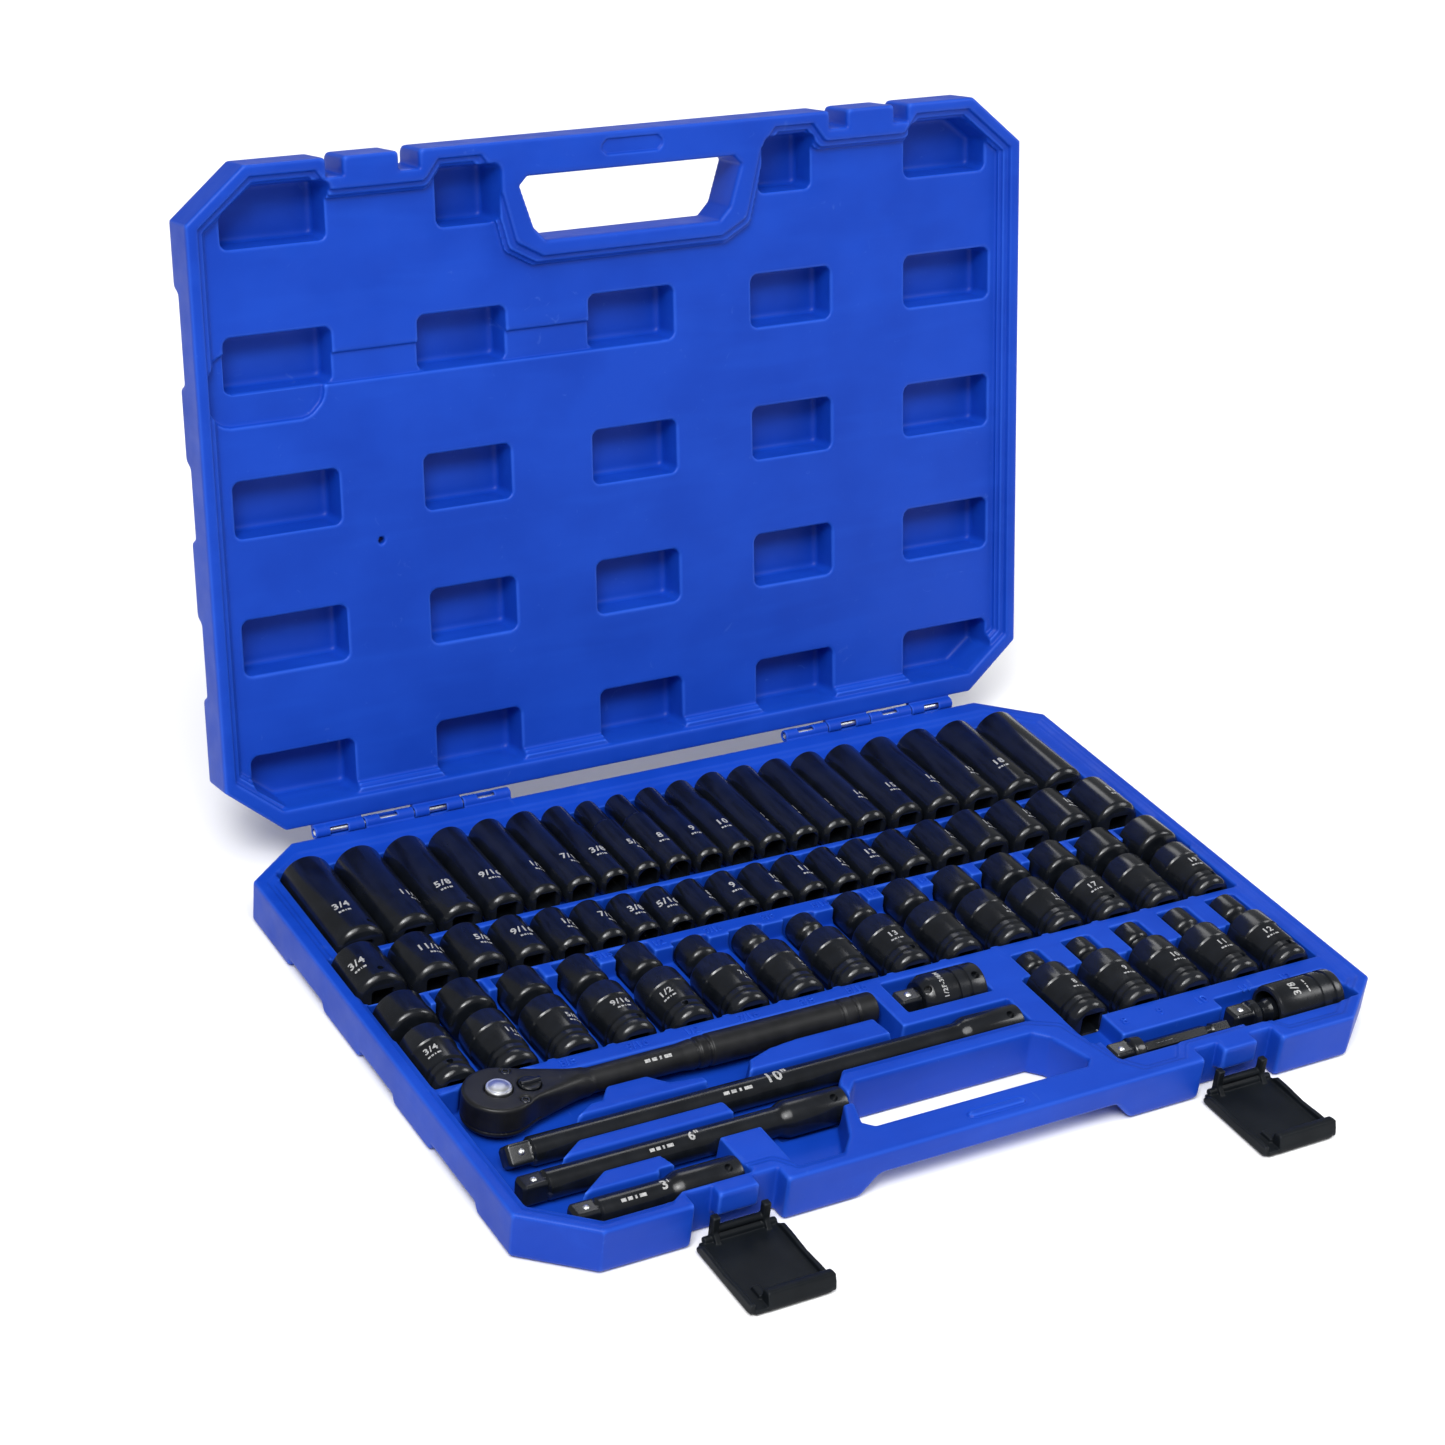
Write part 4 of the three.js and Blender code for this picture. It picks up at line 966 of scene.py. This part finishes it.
def drive_adapter():
    left, y, z, body = *ADAPTER, "drive_adapter"
    rings = male_square(11)
    rings += round_steps((11.2, 8.3), (11.6, 8.9), (15.0, 10.9), (15.6, 11.0), (27.0, 11.0), (27.4, 10.4),
        (28.6, 10.4), (29.0, 11.0), (33.0, 11.0), (33.4, 10.5), (34.6, 10.5), (35.0, 11.0), (41.6, 11.0),
        (42.6, 10.6), (43, 9.8))
    rings += [(43, square(7.2, 9.4)), (42.2, square(6.45, 8.5)), (29, square(6.45, 8.5)),
        (28.6, square(6.0, 8.0))]
    made = ring_piece("half_inch_adapter", rings, "x", (left, y, z), BLACK, body, ("drive_adapter",))
    drill(made, [((left + 38.3, y - 4.5, z + 9.9), (0, -0.42, 0.9)),
        ((left + 13.2, y - 4.6, z + 8.4), (-0.3, -0.4, 0.85))], 1.9, 2.4)
    wrap_mark("half_inch_adapter_size", letters("1/2F-3/8M", 2.3), "x", (0, y, z), 11.0, left + 22, -22,
        body, along=False)
    detent_ball("half_inch_adapter_ball", (left + 6, y, z + BALL_OUT), (0, -0.05, 1), body, 2.0)


def hex_shank_adapter():
    left, y, z, body = *SHANK, "hex_shank_adapter"
    six = hexagon(6.35)
    rings = male_square(10, neck=6.4)
    rings += round_steps((10.1, 5.8), (10.6, 6.6), (11.2, 6.95), (15.4, 6.95), (16.2, 6.6), (17.6, 4.9),
        (18.6, 3.9))
    rings += [(19.2, six), (52.0, six), (52.7, circle(2.7)), (55.6, circle(2.7)), (56.4, six),
        (64.6, six), (65.5, circle(2.5))]
    ring_piece("hex_shank_bit_adapter", rings, "x", (left, y, z), BLACK, body, ("hex_shank_adapter",))
    wrap_mark("hex_shank_bit_adapter_line", dashes(9.0, 0.8), "x", (0, y, z), 3.15, left + 29, -18, body)
    detent_ball("hex_shank_bit_adapter_ball", (left + 5.2, y - 0.9, z + BALL_OUT), (0, -0.15, 1), body)


def universal_joint():
    left, y, z = UNIVERSAL
    centre = UNIVERSAL_PIVOT
    rings = male_square(10.5, neck=7.0)
    rings += round_steps((10.6, 6.0), (11.0, 6.6), (13.8, 6.8), (14.6, 6.4), (16.5, 4.8), (19.0, 4.6),
        (20.4, 5.0), (21.5, 5.6), (26.0, 5.6), (28.2, 3.0))
    ring_piece("universal_drive_end", rings, "x", (left, y, z), BLACK, "universal_joint",
        ("universal_joint_drive_end",))
    detent_ball("universal_ball", (left + 5.4, y - 0.4, z + BALL_OUT), (0, -0.08, 1), "universal_joint")
    rings = round_steps((7.8, 3.0), (7.6, 7.4), (0.0, 8.4), (-1.6, 9.0), (-1.6, 10.3), (-0.9, 11.1),
        (0.2, 11.45), (10.0, 11.5), (21.0, 11.5), (21.5, 10.9), (22.8, 10.9), (23.3, 11.5), (27.4, 11.5),
        (27.9, 10.8), (30.2, 10.8), (30.7, 11.5), (33.9, 11.5), (34.7, 11.1), (35, 10.3))
    rings += [(35, square(5.7, 7.4)), (34.2, square(4.9, 6.5)), (23, square(4.9, 6.5)),
        (22.5, square(4.5, 6.0))]
    ring_piece("universal_socket_end", rings, "x", (centre, y, z), BLACK, "universal_joint_socket",
        ("universal_joint_socket_end",))
    wrap_mark("universal_size", letters("3/8", 4.0), "x", (0, y, z), 11.5, centre + 11.5, -14,
        "universal_joint_socket", along=False)
    wrap_mark("universal_line", dashes(7.5, 0.8), "x", (0, y, z), 11.5, centre + 16.5, -14,
        "universal_joint_socket", along=False)


drive_adapter()
hex_shank_adapter()
universal_joint()


# ---------------------------------------------------------------- ratchet
SCREWS = ((-181.8, -46.9), (-182.8, -67.6))


def ratchet():
    head_x, head_y, axis_z, top, bottom = (RATCHET[k] for k in ("x", "y", "z", "top", "bottom"))
    made = Field((-207, -74.5, 9), (-4, -40, 27), 0.45)
    x, y, z = made.x, made.y, made.z
    along, side = x - head_x, y - head_y
    thin = np.clip((along - 12) / 34, 0, 1)
    disc = np.hypot(along, side) - 15.4
    neck = np.maximum(np.abs(side) - (13.2 - 0.21 * np.clip(along - 2, 0, 36)), np.abs(along - 22) - 20)
    plan = smaller(disc, neck, 3.0)
    head = larger(plan, np.maximum(z - top + 2.6 * thin, bottom + 0.4 * thin - z), 1.7 + 5.5 * thin)
    stations = [(-190, 4.8), (-158, 5.5), (-104, 6.0), (-97.4, 6.7), (-96.8, 6.2), (-95.9, 6.2),
        (-95.3, 6.9), (-91.6, 7.0), (-91.0, 6.4), (-90.1, 6.4), (-89.5, 7.2), (-24.4, 7.2), (-23.9, 6.6),
        (-23.0, 6.6), (-22.5, 7.2), (-17.0, 7.2), (-16.5, 6.6), (-15.6, 6.6), (-15.1, 7.2), (-5, 7.2)]
    radius = np.interp(x, [s[0] for s in stations], [s[1] for s in stations])
    handle = np.maximum(np.hypot(side, z - axis_z) - radius, head_x + 12 - x)
    handle = larger(handle, x - RATCHET["end"], 1.8)
    body = smaller(head, handle, 2.4)
    wells = [(head_x, head_y, 6.15, top - 4.6), (head_x + 13.5, head_y - 1.5, 5.2, top - 1.95)]
    wells += [(*spot, 2.3, top - 0.9) for spot in SCREWS]
    for well_x, well_y, r, floor in wells:
        body = larger(body, -larger(np.hypot(x - well_x, y - well_y) - r, floor - z, 0.3), 0.5)
    body = larger(body, -larger(np.hypot(along, side) - 6.2, z - 18.0, 0.3), 0.5)
    seam = np.abs(z - bottom - 2.6) - 0.28
    body = larger(body, -np.maximum(np.maximum(seam, -(plan + 0.5)), along - 15), 0.3)
    field_piece("ratchet_frame", made, body, GRIP, "ratchet", ("ratchet_body",))
    for i, spot in enumerate(SCREWS):
        rings = round_steps((top - 1.2, 1.9), (top - 0.55, 1.95), (top - 0.35, 1.7))
        rings += [(top - 0.35, hexagon(2.2)), (top - 1.0, hexagon(2.0))]
        ring_piece(f"ratchet_screw_{i + 1}", rings, "z", (*spot, 0), BLACK, "ratchet")
    wrap_mark("ratchet_line", dashes(13, 1.5), "x", (0, head_y, axis_z), 6.0, -116, -32, "ratchet")
    rings = [(bottom - 8.2, square(3.4, 4.4)), (bottom - 7.4, square(4.3, 5.7)),
        (bottom - 6.8, square(4.76, 6.2)), (bottom - 0.6, square(4.76, 6.2))]
    rings += round_steps((bottom - 0.55, 5.8), (bottom + 6.6, 5.8))
    ring_piece("ratchet_square", rings, "z", (head_x, head_y, 0), BLACK, "ratchet_drive", ("ratchet_drive",))
    detent_ball("ratchet_square_ball", (head_x, head_y - 4.7, bottom - 4.2), (0, -1, 0), "ratchet_drive",
        1.9)
    rings = round_steps((top - 2.8, 5.6), (top + 0.75, 5.6), (top + 1.2, 5.3), (top + 1.35, 4.75),
        (top + 1.3, 4.5), (top + 1.45, 4.25), (top + 1.8, 3.2), (top + 2.0, 1.6), (top + 2.0, 0.4))
    ring_piece("release_button", rings, "z", (head_x, head_y, 0), CHROME, "ratchet_button",
        ("ratchet_release_button",))
    knob = Field((head_x + 7, head_y - 8, 22), (head_x + 21, head_y + 5, 28), 0.3)
    x, y, z = knob.x, knob.y, knob.z
    dial = larger(np.hypot(x - head_x - 13.5, y - head_y + 1.5) - 4.75,
        np.maximum(z - top - 0.5, top - 1.7 - z), 0.5)
    wing = np.abs(y - head_y + 1.5) - 1.7 + 0.10 * np.abs(x - head_x - 13.5)
    wing = larger(wing, np.maximum(np.abs(x - head_x - 13.9) - 4.6, np.maximum(z - top - 1.9, top - z)), 0.8)
    field_piece("selector_knob", knob, smaller(dial, wing, 0.5), BLACK, "ratchet_selector",
        ("ratchet_selector",))


ratchet()


# ---------------------------------------------------------------- latches, lying open ahead of the case
def latch(side, word):
    middle = side * LATCH_X
    x0, x1 = middle - 21.1, middle + 18.1
    tip, pivot_y, pivot_z = -198.5, -152.0, 6.2
    made = Field((x0 - 2, tip - 2, -0.5), (x1 + 2, -148, 15), 0.45)
    x, y, z = made.x, made.y, made.z
    plan = outline_distance(cornered(x0, x1, tip, pivot_y - 1, 2.5, 3.0), x, y)
    sag = 0.35 * np.clip(1 - ((x - middle + 1.5) / 18) ** 2, 0, 1)
    plate = larger(plan, np.maximum(z - 2.7 + sag, 0.5 - z), 0.8)
    wall = np.maximum(np.abs(np.abs(x - middle + 1.5) - 18.5) - 1.1, np.maximum(y + 155.0, tip + 1.0 - y))
    dip = 0.8 * np.clip(1 - np.abs(y + 176) / 12, 0, 1)
    wall = larger(wall, np.maximum(z - 5.3 + dip + 0.8 * np.maximum(y + 158.5, 0), 0.9 - z), 0.7)
    lip = np.maximum(np.maximum(x0 + 8 - x, x - x1),
        np.maximum(y + 192.4, tip + 0.28 * np.maximum(z - 2.9, 0) - y))
    lip = larger(lip, np.maximum(z - 8.5 + 0.25 * np.maximum(y + 195, 0), 0.9 - z), 0.9)
    catch = np.maximum(np.abs(x - middle + 12.5) - 1.6,
        np.maximum(np.abs(y + 189.2) - 3.4, np.maximum(z - 4.4, 0.9 - z)))
    body = smaller(smaller(smaller(plate, wall, 0.7), lip, 0.8), catch, 0.7)
    for at in (middle - 11.9, middle + 11.9):
        arm = np.maximum(np.abs(x - at) - 1.65,
            np.maximum(np.abs(y + 152.4) - 1.75, np.maximum(z - 13.3, 1.0 - z)))
        gusset = np.maximum(np.abs(x - at) - 1.2,
            np.maximum(z - 3.0 - 1.1 * (y + 157), np.maximum(y + 152, 1.2 - z)))
        body = smaller(body, smaller(arm, gusset, 0.4), 0.6)
    rod = larger(np.hypot(y - pivot_y, z - pivot_z) - 1.75, np.abs(x - middle) - 12, 0.3)
    bar = larger(np.hypot(y + 153.2, z - 2.9) - 1.7, np.abs(x - middle) - 17.0, 0.5)
    body = smaller(body, smaller(rod, bar, 0.5), 0.6)
    field_piece(f"latch_{word}_plate", made, body, LATCH_BLACK, f"latch_{word}", (f"latch_{word}",))


latch(-1, "left")
latch(1, "right")


# ---------------------------------------------------------------- hinge pins
for side, word in ((-1, "left"), (1, "right")):
    rings = round_steps((0, 0.9), (0.3, 1.3), (0.7, 1.4), (99.9, 1.4), (100.3, 1.3), (100.6, 0.9))
    ring_piece(f"pin_{word}", rings, "x", (side * HINGE_X - 50.3, HINGE_Y, HINGE_Z), CHROME,
        "case_base", (f"hinge_pin_{word}",))


# ---------------------------------------------------------------- sizes raised in the tray
def raised_text(name, text, x, y, size):
    mesh = text_mesh(text, size, align_y="CENTER", extrude=0.00032, bevel_depth=0.00008, resolution_u=3)
    mesh.transform(Matrix.Translation((x / 1000, y / 1000, (TRAY + 0.1) / 1000)))
    points = [tuple(v.co * 1000) for v in mesh.vertices]
    faces = [tuple(p.vertices) for p in mesh.polygons]
    add(name, points, faces, BLUE, "case_base", sharp=30)


for text, x in (("5/8", -151.5), ("9/16", -118), ("1/2", -91), ("7/16", -63), ("3/8", -33), ("5/16", -7)):
    raised_text("tray_size_" + text.replace("/", "_"), text, x, -46.2, 4.2)
for text, x in (("8", 92), ("9", 112), ("10", 135), ("11", 160), ("12", 184)):
    raised_text(f"tray_size_{text}mm", text, x, -113, 4.6)
for i in range(3, 10):
    key = SIZES[LONG_ROW["sizes"][i]][0]
    raised_text(f"tray_row_size_{key}", label(key), LONG_ROW["first"] + LONG_ROW["pitch"] * i + 14.2,
        18.8, 3.6)



# ---------------------------------------------------------------- studio
def studio():
    world = bpy.data.worlds.new("studio")
    bpy.context.scene.world = world
    world.use_nodes = True
    world.node_tree.nodes["Background"].inputs["Color"].default_value = (1, 1, 1, 1)
    world.node_tree.nodes["Background"].inputs["Strength"].default_value = 0.26
    floor = bpy.data.meshes.new("floor")
    floor.from_pydata([(-30, -30, -0.0006), (30, -30, -0.0006), (30, 30, -0.0006), (-30, 30, -0.0006)],
        [], [(0, 1, 2, 3)])
    floor.materials.append(FLOOR)
    link("floor", floor)
    for name, place, aim, size, power in (
        ("key", (-1.2, -1.1, 1.9), (0, 0, 0.05), 0.7, 26), ("side", (1.7, -0.7, 1.3), (0, 0, 0.1), 0.8, 13),
        ("back", (0.5, 1.5, 1.5), (0, 0, 0.05), 0.9, 8),
    ):
        light = bpy.data.lights.new(name, "AREA")
        light.shape = "SQUARE"
        light.size = size
        light.energy = power
        made = link(name, light)
        made.location = place
        made.rotation_mode = "QUATERNION"
        made.rotation_quaternion = (Vector(aim) - Vector(place)).to_track_quat("-Z", "Y")
    light = bpy.data.lights.new("sky", "SUN")
    light.angle = math.radians(42)
    light.energy = 2.3
    link("sky", light).rotation_euler = (math.radians(24), math.radians(-18), 0)


EYE = (-0.69969, -0.96271, 0.78924)


def camera():
    azimuth, elevation, roll = math.radians(-33.47), math.radians(29.27), math.radians(6.55)
    back = Vector((math.sin(azimuth) * math.cos(elevation), -math.cos(azimuth) * math.cos(elevation),
        math.sin(elevation)))
    right = Vector((0, 0, 1)).cross(back).normalized()
    up = back.cross(right)
    across = math.cos(roll) * right + math.sin(roll) * up
    upward = -math.sin(roll) * right + math.cos(roll) * up
    data = bpy.data.cameras.new("camera")
    data.sensor_width = 36
    data.lens = 77.48
    data.clip_start, data.clip_end = 0.05, 60
    made = link("camera", data)
    made.rotation_mode = "QUATERNION"
    made.matrix_world = Matrix((*zip(across, upward, back, EYE), (0, 0, 0, 1)))
    bpy.context.scene.camera = made
    bpy.context.scene.view_settings.view_transform = "Standard"


studio()
camera()
